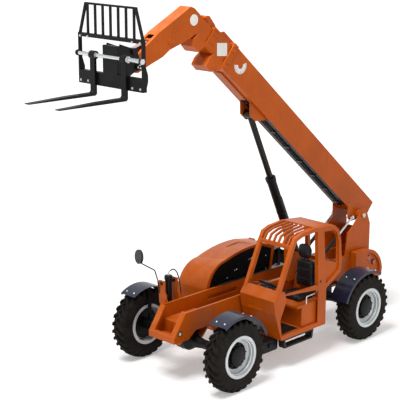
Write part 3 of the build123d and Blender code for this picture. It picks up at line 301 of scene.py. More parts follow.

# %% [markdown]
# ## Bare and plated metal
# Cylinder rods are ground and hard-chromed, so they mirror the sky with hardly a mark. The long lift rod is
# drawn as a nearly black metal. Slide rails are mild steel rubbed bright by the shoes, with brown rust
# beginning between the rubs. Bolts are zinc plated, which is a soft greyish white.

# %% Metals


def metal(name, colour, marks, rough, per_metre, stretch, brown=0.0):
    """Metal with marks along one direction. Noise stretched that way shifts its roughness and its shade."""
    material, tree, place = new_finish(name, Metallic=1.0)
    spread = add(tree, "Mapping", {"Vector": place, "Scale": stretch})
    grain = add(tree, "TexNoise", {"Vector": spread, "Scale": per_metre, "Detail": 6})
    light = add(tree, "MapRange", {0: grain, 1: 0.3, 2: 0.7})
    shade = add(tree, "Mix", {0: light, 6: linear(marks), 7: linear(colour)}, 2, data_type="RGBA")
    rust = clouds(tree, place, 9, 8, 0.55, 0.75, brown)
    shade = add(tree, "Mix", {0: rust, 6: shade, 7: linear("#5B3420")}, 2, data_type="RGBA")
    gloss = add(tree, "MapRange", {0: grain, 1: 0.25, 2: 0.8, 3: rough * 0.7, 4: rough * 1.4})
    bump = add(tree, "Bump", {"Height": grain, "Strength": 0.2, "Distance": 0.0004})
    wire(tree, Base_Color=shade, Roughness=gloss, Normal=bump)
    return material


chrome = metal("hard_chrome_on_ground_steel", "#D9DCDD", "#B9BDC0", 0.12, 60, (1, 1, 1))
# the long lift rod is drawn as a nearly black metal
dark_rod = metal("nearly_black_rod_metal", "#35332F", "#1E1C1A", 0.26, 60, (1, 1, 1))
rubbed_steel = metal("rubbed_mild_steel", "#8C8680", "#5C554D", 0.38, 90, (0.04, 1, 1), brown=0.6)
zinc = metal("zinc_plate_on_bolts", "#D4D6D2", "#AEB0AC", 0.34, 40, (1, 1, 1))
cast_iron = paint("grey_engine_enamel_on_cast_iron", "#3B3D3D", "#6A645B", dull=0.5, dusty=0.3)
print("metals ready")

# %% [markdown]
# ## Rubber, plastic and vinyl
# Tyre rubber is carbon black that dries to a warm dark grey, with pale dust in the tread and a faint
# bloom on its wall. Moulded plastic has a fine even grain. The seat is embossed black vinyl.

# %% Rubber and plastics


def moulded(name, colour, pale, rough, per_metre, depth, cloudy=0.4, shine=0.3):
    """Rubber or plastic: an even colour, pale bloom in clouds, and a grain of the mould's own texture."""
    material, tree, place = new_finish(name, Specular_IOR_Level=shine)
    bloom = clouds(tree, place, 7, 8, 0.42, 0.75, cloudy)
    base = add(tree, "Mix", {0: bloom, 6: linear(colour), 7: linear(pale)}, 2, data_type="RGBA")
    gloss = add(tree, "MapRange", {0: bloom, 3: rough - 0.04, 4: rough + 0.15})
    grain = add(tree, "TexNoise", {"Vector": place, "Scale": per_metre, "Detail": 3})
    bump = add(tree, "Bump", {"Height": grain, "Strength": 0.5, "Distance": depth})
    wire(tree, Base_Color=base, Roughness=gloss, Normal=bump)
    return material


tyre_rubber = moulded("carbon_black_tyre_rubber", "#0F0C0A", "#3A3128", 0.8, 60, 0.002, 0.32, shine=0.15)
hose_rubber = moulded("nitrile_hose_rubber", "#171717", "#45423D", 0.5, 200, 0.0006, 0.3)
black_plastic = moulded("grained_black_polypropylene", "#101113", "#2C2C2B", 0.45, 300, 0.0006, 0.3)
seat_vinyl = moulded("embossed_black_seat_vinyl", "#0E0F12", "#292A2B", 0.44, 250, 0.0010, 0.3)
step_grip = moulded("rubbed_black_step_paint", "#0D0D0D", "#4A4640", 0.5, 90, 0.0015, 0.4, shine=0.2)
print("rubber and plastics ready")

# %% [markdown]
# ## Glass and lenses
# The mirror is silvered glass, nearly a perfect mirror. Lamp lenses are dyed acrylic with ribs.

# %% Glass
mirror_glass, tree, place = new_finish("silvered_mirror_glass", Metallic=1.0, Roughness=0.03)
dirt = clouds(tree, place, 12, 6, 0.4, 0.8, 0.25)
wire(tree, Base_Color=add(tree, "Mix", {0: dirt, 6: linear("#DFE4E6"), 7: linear("#A9A69F")}, 2, data_type="RGBA"))


def lens(name, colour, deep):
    """Dyed acrylic with moulded ribs 12 mm apart, which catch the light in lines."""
    material, tree, place = new_finish(name, Roughness=0.12, IOR=1.49, Coat_Weight=0.6)
    ribs = add(tree, "TexWave", {"Vector": place, "Scale": 26.0}, 1, bands_direction="Z")
    base = add(tree, "Mix", {0: ribs, 6: linear(deep), 7: linear(colour)}, 2, data_type="RGBA")
    wire(tree, Base_Color=base, Normal=add(tree, "Bump", {"Height": ribs, "Strength": 0.4, "Distance": 0.002}))
    return material


red_lens = lens("red_acrylic_lens", "#B3161A", "#5E0A0C")
clear_lens = lens("clear_acrylic_lens", "#E9ECEA", "#B9BEBE")
print("glass ready")

# %% [markdown]
# ## Finish for each construction node
# The construction's own solids keep their shape. Each gets the finish of the real piece, from one table.

# %% Dress the construction nodes
finishes = [
    (orange_enamel, ["frame_sides", "frame_members", "rear_housing", "carriage", "boom_outer", "boom_mid",
                     "boom_inner", "gooseneck", "cab_body", "cab_rops", "cab_roof", "seat_base", "hood",
                     "hood_base"]),
    (slate_enamel, ["fender_"]),
    (black_enamel, ["front_axle", "rear_axle", "knuckle_", "sway_barrel", "lift_barrel", "slave_barrels",
                    "fork_carriage", "fork_left", "fork_right", "hood_grille"]),
    (silver_enamel, ["rim_"]),
    (tyre_rubber, ["tyre_"]),
    (chrome, ["sway_rod", "slave_rods", "tilt_rod", "fork_shaft"]),
    (dark_rod, ["lift_rod"]),
    (rubbed_steel, ["slide_rails"]),
    (red_lens, ["rear_lamps"]),
    (zinc, ["grab_handle"]),
    (cast_iron, ["engine_block"]),
    (black_plastic, ["steering_wheel", "mirror"]),
    (step_grip, ["step_box"]),
    (seat_vinyl, ["seat_cushion", "seat_back"]),
]
for material, starts in finishes:
    for name, node_object in nodes.items():
        if any(name == start or (start[-1] == "_" and name.startswith(start)) for start in starts):
            node_object.data.materials.clear()
            node_object.data.materials.append(material)
            node_object["dressed"] = True
bare = [name for name, node_object in nodes.items() if "dressed" not in node_object]
print("nodes without a finish:", bare)

# %% [markdown]
# ## Tyres
# Each tyre is a wall, a shoulder and a tread with two rows of slanted bars that stop past the middle and
# alternate from side to side. The tyre is one surface over two parameters: the angle around the wheel and
# the place across from bead to bead. The bars are a height added outwards, so they melt into the wall as
# moulded rubber does.

# %% Tyres
bars = 26                    # bars in each row
tread_radius = 0.592         # between the bars
bar_height = 0.043
wheel_half = 0.1625


def step_up(value, low, high):
    """0 below low, 1 above high, and an S curve between: 3t squared minus 2t cubed."""
    t = np.clip((value - low) / (high - low), 0, 1)
    return t * t * (3 - 2 * t)


def tyre_shape(centre, side):
    """Point at angle a, place s across: radius r(s) plus the bar height, y(s) from the wheel's middle."""
    around, across = bars * 18, 66
    a = np.linspace(0, 2 * pi, around, endpoint=False)[:, None]
    s = np.linspace(-1, 1, across)[None, :]
    # the wall is an arc from the bead to the shoulder, and the crown is nearly flat
    key_s = [0, 0.30, 0.44, 0.54, 0.64, 0.76, 0.88, 0.95, 1.0]
    key_y = [0, 0.082, 0.124, 0.1435, 0.153, 0.1605, 0.158, 0.149, 0.146]
    key_r = [tread_radius, 0.588, 0.578, 0.561, 0.532, 0.478, 0.412, 0.368, 0.352]
    y = np.sign(s) * np.interp(np.abs(s), key_s, key_y)
    r = np.interp(np.abs(s), key_s, key_r)
    height = np.zeros((around, across))
    pitch = 2 * pi / bars
    for bank in (1, -1):
        outwards = bank * y
        # each bar leans: its angle grows towards the middle, faster near it
        lean = 0.95 * pitch * (1 - np.clip(outwards / 0.15, -0.2, 1)) ** 1.3
        phase = (a - (0.5 * pitch if bank < 0 else 0) - lean + pi * 20) % pitch - pitch / 2
        reach = phase * tread_radius
        half_width = 0.021 + 0.006 * np.clip(outwards / 0.15, 0, 1)
        bar = 1 - step_up(np.abs(reach), half_width, half_width + 0.010)
        ends = step_up(outwards, -0.024, -0.012) * (1 - step_up(np.abs(s) + 0 * a, 0.60, 0.72) * (bank * s > 0))
        height = np.maximum(height, bar * ends)
    fade = np.interp(np.abs(s), [0, 0.44, 0.54, 0.64, 0.72], [1, 1, 0.8, 0.28, 0])
    out_r = r + bar_height * height * fade
    out_y = y + np.sign(y) * 0.008 * height * np.interp(np.abs(s), [0, 0.44, 0.58, 0.72], [0, 0.2, 1, 0])
    # two shallow rings on the wall, as a mould leaves
    out_y = out_y + np.sign(y) * 0.0022 * (np.exp(-((np.abs(s) - 0.80) / 0.012) ** 2)
                                           + np.exp(-((np.abs(s) - 0.92) / 0.010) ** 2))
    out_y = np.clip(out_y, -wheel_half, wheel_half)
    x = centre[0] + out_r * np.cos(a)
    z = centre[2] + out_r * np.sin(a)
    points = np.stack([x, centre[1] + side * out_y, z], -1)
    # the inside of the bead closes the tube around the rim
    bead_radius, bead_half = 0.333, np.array([[0.146, -0.146]])
    inner = np.stack([centre[0] + bead_radius * np.cos(a) + 0 * bead_half, centre[1] + side * bead_half + 0 * a,
                      centre[2] + bead_radius * np.sin(a) + 0 * bead_half], -1)
    points = np.concatenate([points, inner], 1)
    return points.reshape(-1, 3), grid_faces(around, across + 2, True, True)


def middle(node):
    """The middle of a node's box."""
    low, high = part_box(node)
    return (np.array(low) + np.array(high)) / 2


corners = [("front_left", 1), ("front_right", -1), ("rear_left", 1), ("rear_right", -1)]
for corner, side in corners:
    centre = middle(f"tyre_{corner}")
    tyre = piece(f"tread_{corner}", tyre_shape(centre, side), tyre_rubber, f"wheel_{corner}", smooth=60)
    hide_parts(f"tyre_{corner}")
print("tyre:", len(tyre.data.polygons), "faces each")

# %% [markdown]
# ## Places on the boom
# The boom is measured along its length and across it, so a point on it is written as that pair and the
# place to the left. The pivot pin's place comes from the frame's joint, and the boom stands at 41 degrees.

# %% Boom places
joints = {joint["name"]: joint for joint in frame["joints"]}
pivot = np.array(joints["boom_lift"]["pos_m"])
boom_angle = radians(41)
along = np.array([cos(boom_angle), 0, sin(boom_angle)])
across = np.array([-sin(boom_angle), 0, cos(boom_angle)])
left = np.array([0, 1.0, 0])


def boom(s, t, y=0.0):
    """The point s along the boom from its pivot, t across it and y to the left."""
    return np.array([pivot[0], 0, pivot[2]]) + s * along + t * across + y * left


def boom_plate(outline, y, thickness):
    """A flat plate on the boom's side: its outline is given along and across the boom."""
    side = 1 if y > 0 else -1
    flat = [(s, -side * t) for s, t in outline]
    return placed(plate(flat, thickness), boom(0, 0, y), (0, side, 0), along)


def ring_outline(radius, count=32, centre=(0, 0)):
    """Points on a circle, for a round plate."""
    a = np.linspace(0, 2 * pi, count, endpoint=False)
    return [(centre[0] + radius * cos(v), centre[1] + radius * sin(v)) for v in a]


print("the boom's pivot is at", pivot)

# %% [markdown]
# ## Bolts
# Bolts hold the guards, the fenders, the pads and the pins. A hexagon head on a washer is 12 flat faces and a
# ring, and one mesh carries a whole row of them. Heads on the fenders are domed, so that they don't cut.

# %% Bolt shapes


def hex_bolt(size):
    """A hexagon head with a chamfered top on a round washer, standing on Z = 0. size is across the corners."""
    washer = disc(0.62 * size, 0.10 * size, 14)
    head = lathe([(0.5 * size, 0.08 * size), (0.5 * size, 0.38 * size), (0.43 * size, 0.45 * size),
                  (0.001, 0.45 * size)], 6)
    return joined([washer, head])


def dome_bolt(size):
    """A domed head: a quarter circle turned about Z, flattened to a third of its width."""
    a = np.linspace(0, pi / 2, 6)
    return lathe(np.column_stack([np.maximum(size / 2 * np.cos(a), 0.001), size / 3 * np.sin(a)]), 14)


def row(shape, places, z_dir):
    """The same shape at each place, all facing one way."""
    sideways = (1, 0, 0) if abs(z_dir[0]) < 0.9 else (0, 1, 0)
    return joined([placed(shape, place, z_dir, sideways) for place in places])


def bolt_circle(centre, radius, count, z_dir, start=0.0):
    """Places spread evenly on a circle that faces z_dir."""
    z = np.array(z_dir, float) / np.linalg.norm(z_dir)
    x = np.cross(z, (0.12, 0.31, 0.9))
    x /= np.linalg.norm(x)
    a = start + np.linspace(0, 2 * pi, count, endpoint=False)[:, None]
    return np.array(centre) + radius * (np.cos(a) * x + np.sin(a) * np.cross(z, x))


def bolt_ring(size, centre, radius, count, z_dir):
    """Hexagon bolts spread evenly on a circle that faces z_dir."""
    return row(hex_bolt(size), bolt_circle(centre, radius, count, z_dir), z_dir)


def both_sides(shape, x, y, z):
    """The shape on the left and on the right of the machine, facing outwards."""
    return [placed(shape, (x, side * y, z), (0, side, 0)) for side in (1, -1)]


print("a hexagon bolt has", len(hex_bolt(0.03)[1]), "faces")

# %% [markdown]
# ## Wheel hubs
# Each axle ends in a planetary hub: a black drum that stands out of the silver wheel, ringed by ten studs and
# nuts, with a ring of small bolts round its cover. The drum is one profile turned about the axle. A round
# black disc behind the wheel is painted shade, for the dark inside of the rim, and stays with the knuckle.

# %% Hubs
disc_face = 0.036            # the wheel disc's face, from the middle of the tyre
hub_cover = 0.126            # the hub cover's face
stud_circle, studs_each = 0.205, 10


def hub_shape(centre, side):
    """The drum and its flange, turned about the axle, with nuts and cover bolts."""
    profile = [(0.001, hub_cover + 0.003), (0.086, hub_cover + 0.003), (0.098, hub_cover),
               (0.168, hub_cover - 0.018), (0.171, 0.096), (0.171, disc_face + 0.012),
               (0.232, disc_face + 0.008), (0.236, disc_face - 0.004), (0.001, disc_face - 0.004)]
    out = (0, side, 0)
    drum = placed(lathe(profile[::-1], 40), centre, out)
    face = centre + np.array([0, side * (disc_face + 0.009), 0])
    nuts = bolt_ring(0.044, face, stud_circle, studs_each, out)
    studs = row(lathe([(0.010, 0), (0.010, 0.045), (0.001, 0.047)], 8),
                bolt_circle(face, stud_circle, studs_each, out), out)
    cover = bolt_ring(0.022, centre + np.array([0, side * (hub_cover - 0.012), 0]), 0.142, 12, out)
    return joined([drum, nuts, studs, cover])


# a black disc of painted shade fills the dark inside of each rim
shade_disc = lathe([(0.001, 0), (0.262, 0), (0.270, 0.006), (0.262, 0.012), (0.001, 0.012)], 36)
for corner, side in corners:
    wheel = middle(f"tyre_{corner}")
    piece(f"hub_{corner}", hub_shape(wheel, side), black_enamel, f"wheel_{corner}")
    piece(f"painted_shade_disc_{corner}", placed(shade_disc, wheel - [0, side * 0.075, 0], (0, side, 0)), black_enamel,
          f"knuckle_{corner}")
print("hubs: 4")

# %% [markdown]
# ## Fender bolts
# Two pairs of bright domed bolts hold each fender to its carrier.

# %% Fender bolts
fender_radius = 0.7085
for corner, side in corners:
    wheel = middle(f"tyre_{corner}")
    fore = 1 if corner.startswith("front") else -1
    heads = []
    for angle in (65, 119):
        facing = np.array([fore * cos(radians(angle)), 0, sin(radians(angle))])
        spots = [np.array([wheel[0], side * y, wheel[2]]) + fender_radius * facing for y in (1.02, 1.205)]
        heads.append(row(dome_bolt(0.036), spots, facing))
    piece(f"fender_bolts_{corner}", joined(heads), zinc, body_of_node[f"fender_{corner}"])
print("fender bolts: 16")

# %% [markdown]
# ## Blank films
# A boom carries a round disc and a square plate, which are left blank here. Each is thin vinyl film, so it
# stands out of the steel by its own thickness.

# %% Films on the boom
film = 0.0015
piece("blank_disc", boom_plate(ring_outline(0.092, 40, (6.067, 0.178)), 0.1262, film), white_enamel, "gooseneck")
piece("blank_plate", boom_plate([(5.405, 0.200), (5.210, 0.341), (5.065, 0.177), (5.263, 0.037)], 0.1502, film),
      white_enamel, "boom_mid")
print("two blank films")

# %% [markdown]
# ## The boom's angle scale
# A sector of film shows the boom's angle by plain ticks. A ring's sector is not convex, so it is laid as
# narrow four-sided plates.

# %% Angle scale


def sector_outline(centre, inner, outer, start, end, count=28):
    """The outline of a ring's sector between two angles, given in degrees."""
    a = np.radians(np.linspace(start, end, count))
    return [(centre[0] + radius * cos(v), centre[1] + radius * sin(v))
            for radius, turn in ((outer, a), (inner, a[::-1])) for v in turn]


def strips(outlines, y, thickness):
    """Several small plates on the boom's side, in one shape."""
    return joined([boom_plate(outline, y, thickness) for outline in outlines])


scale_middle = (4.715, 0.235)
down_angle = 229             # straight down, as an angle in the boom's own plane
sector = sector_outline(scale_middle, 0.062, 0.150, down_angle - 100, down_angle + 100)
edges = len(sector)
cells = [[sector[i], sector[i + 1], sector[edges - 2 - i], sector[edges - 1 - i]] for i in range(edges // 2 - 1)]
piece("angle_scale", strips(cells, 0.1782, film), white_enamel, "boom_outer")
half_tick = 0.8              # degrees
ticks = [sector_outline(scale_middle, 0.112 if i % 3 else 0.088, 0.146, down_angle - 90 + 10 * i - half_tick,
                        down_angle - 90 + 10 * i + half_tick, 2) for i in range(19)]
piece("angle_ticks", strips(ticks, 0.1797, 0.0008), black_plastic, "boom_outer")
print("the scale has", len(ticks), "ticks")

# %% [markdown]
# ## Bolts and plates on the boom
# Wear pads inside each mouth are held by bolts through the side, in two rows. They are painted with the boom,
# so they show only by their edges. The pins at the foot and at the head have keeper plates.

# %% Bolts on the boom
pad_bolts = [("boom_outer", [4.99, 5.05], [-0.03, 0.07, 0.29, 0.39], 0.193),
             ("boom_mid", [5.48, 5.57], [0.03, 0.12, 0.26, 0.35], 0.150),
             ("boom_outer", [5.13, 5.20, 5.28], [-0.17], 0.178)]
for count, (body, ss, ts, y) in enumerate(pad_bolts):
    shapes = [row(hex_bolt(0.030), [boom(s, t, side * y) for s in ss for t in ts], (0, side, 0))
              for side in (1, -1)]
    piece(f"pad_bolts_{count}", joined(shapes), orange_enamel, body)
top_places = [boom(s, 0.422, y) for s in (4.72, 4.80) for y in (-0.12, -0.06, 0.06, 0.12)]
piece("top_bolts", row(hex_bolt(0.026), top_places, across), orange_enamel, "boom_outer")


def pin_bolts(size, centre, y, radius):
    """Three bolts on each end of a pin that lies across the machine."""
    return [bolt_ring(size, centre + [0, side * y, 0], radius, 3, (0, side, 0)) for side in (1, -1)]


keeper = lathe([(0.001, 0.006), (0.040, 0.006), (0.045, 0.001), (0.045, 0), (0.001, 0)], 24)
keepers = both_sides(keeper, pivot[0], 0.328, pivot[2]) + pin_bolts(0.020, boom(0, 0), 0.332, 0.026)
piece("pivot_pin_caps", joined(keepers), zinc, "boom_outer")
tilt = np.array(joints["fork_tilt"]["pos_m"])
piece("tilt_pin_bolts", joined(pin_bolts(0.026, tilt, 0.200, 0.030)), zinc, "fork_carriage")
print("boom bolts done")

# %% [markdown]
# ## Pipes on the boom
# Steel pipes run along the underside of the outer section to the hose chain. A thin black sheet under the boom
# is painted shade, for the dark underside of the boom. The pipes are bent once and clamped every half metre,
# so they never move: each is a circle carried along a path.

# %% Boom pipes


def under_boom(length, width, height, s, t):
    """A block that hangs under the boom, with its length along it."""
    return placed(block(length, width, height), boom(s, t), -across, along)


pipes = [tube([boom(s, -0.073, y) for s in (0.42, 1.5, 2.6, 4.12)], 0.010, 8)
         for y in (-0.045, -0.015, 0.015, 0.045)]
clamps = [under_boom(0.05, 0.13, 0.028, s, -0.061) for s in (0.55, 1.05, 1.55, 2.05, 2.55, 3.05, 3.55, 4.0)]
links = [under_boom(0.052, 0.112, 0.024, s, -0.062) for s in np.arange(4.16, 4.91, 0.062)]
rods = [tube([boom(s, 0.395, y) for s in (5.10, 5.35)], 0.011, 8) for y in (0.03, -0.03)]
# the thin black sheet under the boom is painted shade, for its dark underside
for name, shapes, material in (("underside_cover", [under_boom(3.04, 0.320, 0.003, 1.97, -0.061)], black_plastic),
                               ("boom_pipes", pipes, black_enamel), ("pipe_clamps", clamps, black_plastic),
                               ("hose_chain", links, black_plastic), ("bracket_pipes", rods, black_enamel)):
    piece(name, joined(shapes), material, "boom_outer")
print("boom pipes:", len(pipes), "clamps:", len(clamps), "links:", len(links))

# %% [markdown]
# ## Lift cylinder details
# A screwed gland closes the barrel's end, a pipe brings oil to it along the barrel, and a valve block sits at
# the foot. The pipe is bent steel, held by three straps.

# %% Lift cylinder
lift_foot = np.array([-1.42, 0, 0.90])
lift_eye = np.array(joints["lift_rod_hinge"]["pos_m"])
lift_way = (lift_eye - lift_foot) / np.linalg.norm(lift_eye - lift_foot)
lift_up = np.cross(lift_way, left)
barrel_length = 2.472


def on_barrel(distance, out, y=0.0):
    """A point this far up the barrel from its foot, out from its axis on the front side, and to the left."""
    return lift_foot + distance * lift_way + out * lift_up + y * left


gland = lathe([(0.0856, -0.056), (0.094, -0.056), (0.099, -0.050), (0.099, -0.004), (0.094, 0.002),
               (0.0856, 0.002)], 12, True)
pipe = tube([on_barrel(0.42, 0.088), on_barrel(0.50, 0.112), on_barrel(0.9, 0.114), on_barrel(1.5, 0.114),
             on_barrel(1.95, 0.112), on_barrel(2.02, 0.090)], 0.011, 8)
strap = lathe([(0.0855, 0), (0.0895, 0), (0.0895, 0.022), (0.0855, 0.022)], 28, True)
straps = [placed(strap, on_barrel(distance, 0), lift_way) for distance in (0.7, 1.2, 1.7)]
valve = placed(block(0.14, 0.11, 0.07), on_barrel(0.40, 0.080), lift_up, lift_way)
plugs = row(hex_bolt(0.030), [on_barrel(d, 0.150, y) for d in (0.36, 0.44) for y in (-0.025, 0.025)], lift_up)
piece("lift_gland", placed(gland, on_barrel(barrel_length, 0), lift_way), black_enamel, "lift_barrel")
piece("lift_pipe", joined([pipe, *straps]), black_enamel, "lift_barrel")
piece("lift_valve", joined([valve, plugs]), zinc, "lift_barrel")
print("lift cylinder is", round(float(np.linalg.norm(lift_eye - lift_foot)), 3), "m between its pins")

# %% [markdown]
# ## Nose lamps
# A small round lamp looks out of each side of the nose. Its lens is a shallow dome in a black rubber ring.

# %% Nose lamps
side_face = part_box("frame_sides")[1][1]
lamp_ring = lathe([(0.030, 0.004), (0.034, 0.012), (0.044, 0.010), (0.047, 0), (0.030, 0)], 28, True)
a = np.linspace(0, pi / 2, 7)
lamp_dome = lathe(np.column_stack([np.maximum(0.031 * np.cos(a), 0.001), 0.004 + 0.013 * np.sin(a)]), 28)
piece("nose_lamp_rings", joined(both_sides(lamp_ring, 2.205, side_face, 0.912)), hose_rubber, "chassis")
piece("nose_lamp_lenses", joined(both_sides(lamp_dome, 2.205, side_face, 0.912)), clear_lens, "chassis")
print("nose lamps: 2")

# %% [markdown]
# ## Sway cylinder
# The cylinder that levels the frame stands between two uprights. Its cap is turned steel, painted black, and a
# bright elbow on top feeds it through a short hose. Both ends of that hose are screwed in, so it is a free
# hose of one fixed length that bows up and over.

# %% Sway cylinder
sway = np.array(joints["sway_barrel_hinge"]["pos_m"])
sway_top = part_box("sway_barrel")[1][2]
cap = lathe([(0.061, -0.075), (0.071, -0.070), (0.073, -0.010), (0.066, 0.003), (0.040, 0.007), (0.001, 0.007)], 32)
piece("sway_cap", placed(cap, (sway[0], sway[1], sway_top)), black_enamel, "sway_barrel")
collar = lathe([(0.034, -0.012), (0.056, -0.010), (0.059, 0), (0.034, 0)], 28, True)
piece("sway_gland", placed(collar, (sway[0], sway[1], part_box("sway_barrel")[0][2])), black_enamel, "sway_barrel")
elbow_top = np.array([sway[0], sway[1], sway_top + 0.058])
elbow = joined([placed(lathe([(0.019, 0.006), (0.019, 0.030), (0.013, 0.034), (0.013, 0.058), (0.001, 0.060)], 12),
                       (sway[0], sway[1], sway_top)),
                tube([elbow_top - [0, 0, 0.012], elbow_top + [-0.010, 0, 0.008], elbow_top + [-0.034, 0, 0.016]],
                     0.012, 12)])
piece("sway_elbow", elbow, zinc, "sway_barrel")


print("sway cylinder's cap at", round(sway_top, 3))

# %% [markdown]
# ## Sway hose
# The hose leaves the elbow, bows over and hangs down to a union on the frame. It is reinforced rubber of one
# fixed length, drawn as a curve through its control points.

# %% Sway hose


def hose(name, points, radius, body, exit_point, **facts):
    """A free hose: a round bevel on one NURBS spline through its control points."""
    curve = bpy.data.curves.new(name, "CURVE")
    curve.dimensions = "3D"
    curve.bevel_depth = radius
    curve.bevel_resolution = 4
    curve.resolution_u = curve.render_resolution_u = 12
    curve.use_fill_caps = True
    spline = curve.splines.new("NURBS")
    spline.points.add(len(points) - 1)
    spline.points.foreach_set("co", np.column_stack([np.array(points, float), np.ones(len(points))]).ravel())
    spline.order_u = 3
    spline.use_endpoint_u = True
    made = bpy.data.objects.new(name, curve)
    bpy.context.scene.collection.objects.link(made)
    curve.materials.append(hose_rubber)
    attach(made, body)
    line = curve.copy()
    line.bevel_depth = 0
    probe = bpy.data.objects.new(name + "_line", line)
    bpy.context.scene.collection.objects.link(probe)
    bpy.context.view_layer.update()
    points_mesh = bpy.data.meshes.new_from_object(probe.evaluated_get(bpy.context.evaluated_depsgraph_get()))
    bpy.data.objects.remove(probe)


start = elbow_top + [-0.034, 0, 0.016]
sway_points = [start, start + [-0.05, 0, 0.02], start + [-0.12, 0, 0.005], start + [-0.175, 0.012, -0.07],
               start + [-0.185, 0.045, -0.19], start + [-0.175, 0.085, -0.31], start + [-0.170, 0.100, -0.40],
               start + [-0.170, 0.100, -0.475]]
hose("sway_hose", sway_points, 0.011, "chassis", start, stiffness="medium", lay="hanging")
foot = sway_points[-1]
piece("sway_union", placed(lathe([(0.001, -0.022), (0.020, -0.022), (0.020, 0.004), (0.014, 0.008), (0.014, 0.02),
                                  (0.001, 0.02)], 6), foot), zinc, "chassis")

# %% [markdown]
# ## Seat padding
# The seat is foam under black vinyl. Air and foam push the cover out between its seams, so the sides pull in
# at the corners and the top is crowned. Each pad starts as a rounded block, a little small. Cloth under
# pressure swells it, and no point may move further than the cap. The sewn channels are pressed in afterwards.

# %% Seat padding


def rounded_block(half, power=0.28, rows=28, columns=56):
    """Half sizes times the signed cosines and sines of two angles, raised to a power, as in a superellipsoid."""
    u = np.linspace(0, 2 * pi, columns, endpoint=False)[:, None]
    v = np.linspace(-pi / 2 + 0.01, pi / 2 - 0.01, rows)[None, :]

    def bent(wave):
        """The wave's size raised to the power, with its sign kept."""
        return np.sign(wave) * np.abs(wave) ** power
    points = np.stack([half[0] * bent(np.cos(u)) * bent(np.cos(v)), half[1] * bent(np.sin(u)) * bent(np.cos(v)),
                       half[2] * bent(np.sin(v)) + 0 * u], -1).reshape(-1, 3)
    ring = np.arange(columns) * rows
    return points, grid_faces(columns, rows, True, False) + [ring[::-1].tolist(), (ring + rows - 1).tolist()]


def settled(made):
    """The piece's mesh with its modifiers worked in."""
    bpy.context.view_layer.update()
    mesh = bpy.data.meshes.new_from_object(made.evaluated_get(bpy.context.evaluated_depsgraph_get()))
    made.modifiers.clear()
    made.data = mesh
    return mesh


def places_of(mesh):
    """The mesh's points as an array."""
    flat = np.empty(len(mesh.vertices) * 3, np.float32)
    mesh.vertices.foreach_get("co", flat)
    return flat.reshape(-1, 3).astype(float)


def swell(made, cap, channels):
    """Remesh, cloth under pressure with a capped way, one subdivision, then the channels pressed in."""
    remesh = made.modifiers.new("remesh", "REMESH")
    remesh.mode = "VOXEL"
    remesh.voxel_size = 0.006
    mesh = settled(made)
    before = places_of(mesh)
    cloth = made.modifiers.new("cloth", "CLOTH")
    cloth.settings.use_pressure = True
    cloth.settings.uniform_pressure_force = 4
    cloth.settings.effector_weights.gravity = 0
    cloth.collision_settings.use_self_collision = False
    for frame_number in range(1, 21):
        bpy.context.scene.frame_set(frame_number)
    mesh = settled(made)
    bpy.context.scene.frame_set(1)
    way = places_of(mesh) - before
    far = np.linalg.norm(way, axis=1)[:, None]
    before = before + way * np.minimum(1, cap / np.maximum(far, 1e-6))
    mesh.vertices.foreach_set("co", before.astype(np.float32).ravel())
    smoother = made.modifiers.new("subdivision", "SUBSURF")
    smoother.levels = smoother.render_levels = 1
    mesh = settled(made)
    points = places_of(mesh)
    normals = np.array([v.vector for v in mesh.vertex_normals])
    depth = np.max([d * np.exp(-(f(points) / 0.006) ** 2) for f, d in channels], axis=0)
    mesh.vertices.foreach_set("co", (points - normals * depth[:, None]).astype(np.float32).ravel())
    mesh.shade_smooth()
    print(made.name, "has", len(mesh.polygons), "faces")


print("padding helpers ready")

# %% [markdown]
# ## Seat pads
# The cushion is low in the middle between two firmer wings, and the backrest narrows towards its top. Their
# seams run front to back and across. The headrest stands on two posts before a plastic shell.

# %% Seat pads
low, high = (np.array(v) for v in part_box("seat_cushion"))
seat_middle = (low + high) / 2
cushion_half = (high - low) / 2 - [0.018, 0.018, 0.016]
points, faces = rounded_block(cushion_half)
wing = np.clip((np.abs(points[:, 1]) / cushion_half[1] - 0.55) / 0.3, 0, 1)
points[:, 2] -= 0.016 * (1 - wing) * (points[:, 2] > 0)
cushion = piece("seat_pad", (points + seat_middle - [0, 0, 0.006], faces), seat_vinyl, "chassis")
swell(cushion, 0.022, [(lambda p: np.abs(p[:, 1] - seat_middle[1]) - 0.135, 0.007),
                       (lambda p: np.abs(p[:, 0] - seat_middle[0]) - 0.10
                        + 9 * (np.abs(p[:, 1] - seat_middle[1]) > 0.135), 0.005),
                       (lambda p: p[:, 2] - seat_middle[2] - 0.004, 0.004)])
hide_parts("seat_cushion")

seat_y = 0.760
back_middle = np.array([-0.545, seat_y, 1.480])
back_half = np.array([0.036, 0.212, 0.268])
points, faces = rounded_block(back_half)
points[:, 0] += 0.016 * np.clip((np.abs(points[:, 1]) / back_half[1] - 0.5) / 0.3, 0, 1) * (points[:, 0] > 0)
points[:, 1] *= 1 - 0.16 * np.clip(points[:, 2] / back_half[2], 0, 1) ** 2
backrest = piece("seat_back_pad", (points + back_middle, faces), seat_vinyl, "chassis")
swell(backrest, 0.022, [(lambda p: np.abs(p[:, 1] - back_middle[1]) - 0.130, 0.007),
                        (lambda p: np.abs(np.abs(p[:, 2] - back_middle[2]) - 0.09)
                         + 9 * (np.abs(p[:, 1] - back_middle[1]) > 0.13), 0.005),
                        (lambda p: p[:, 0] - back_middle[0] + 0.004, 0.004)])
head_middle = np.array([-0.495, seat_y, 1.895])
points, faces = rounded_block((0.046, 0.132, 0.132), 0.62)
headrest = piece("headrest_pad", (points + head_middle, faces), seat_vinyl, "chassis")
swell(headrest, 0.012, [(lambda p: p[:, 0] - head_middle[0] + 0.002, 0.005)])
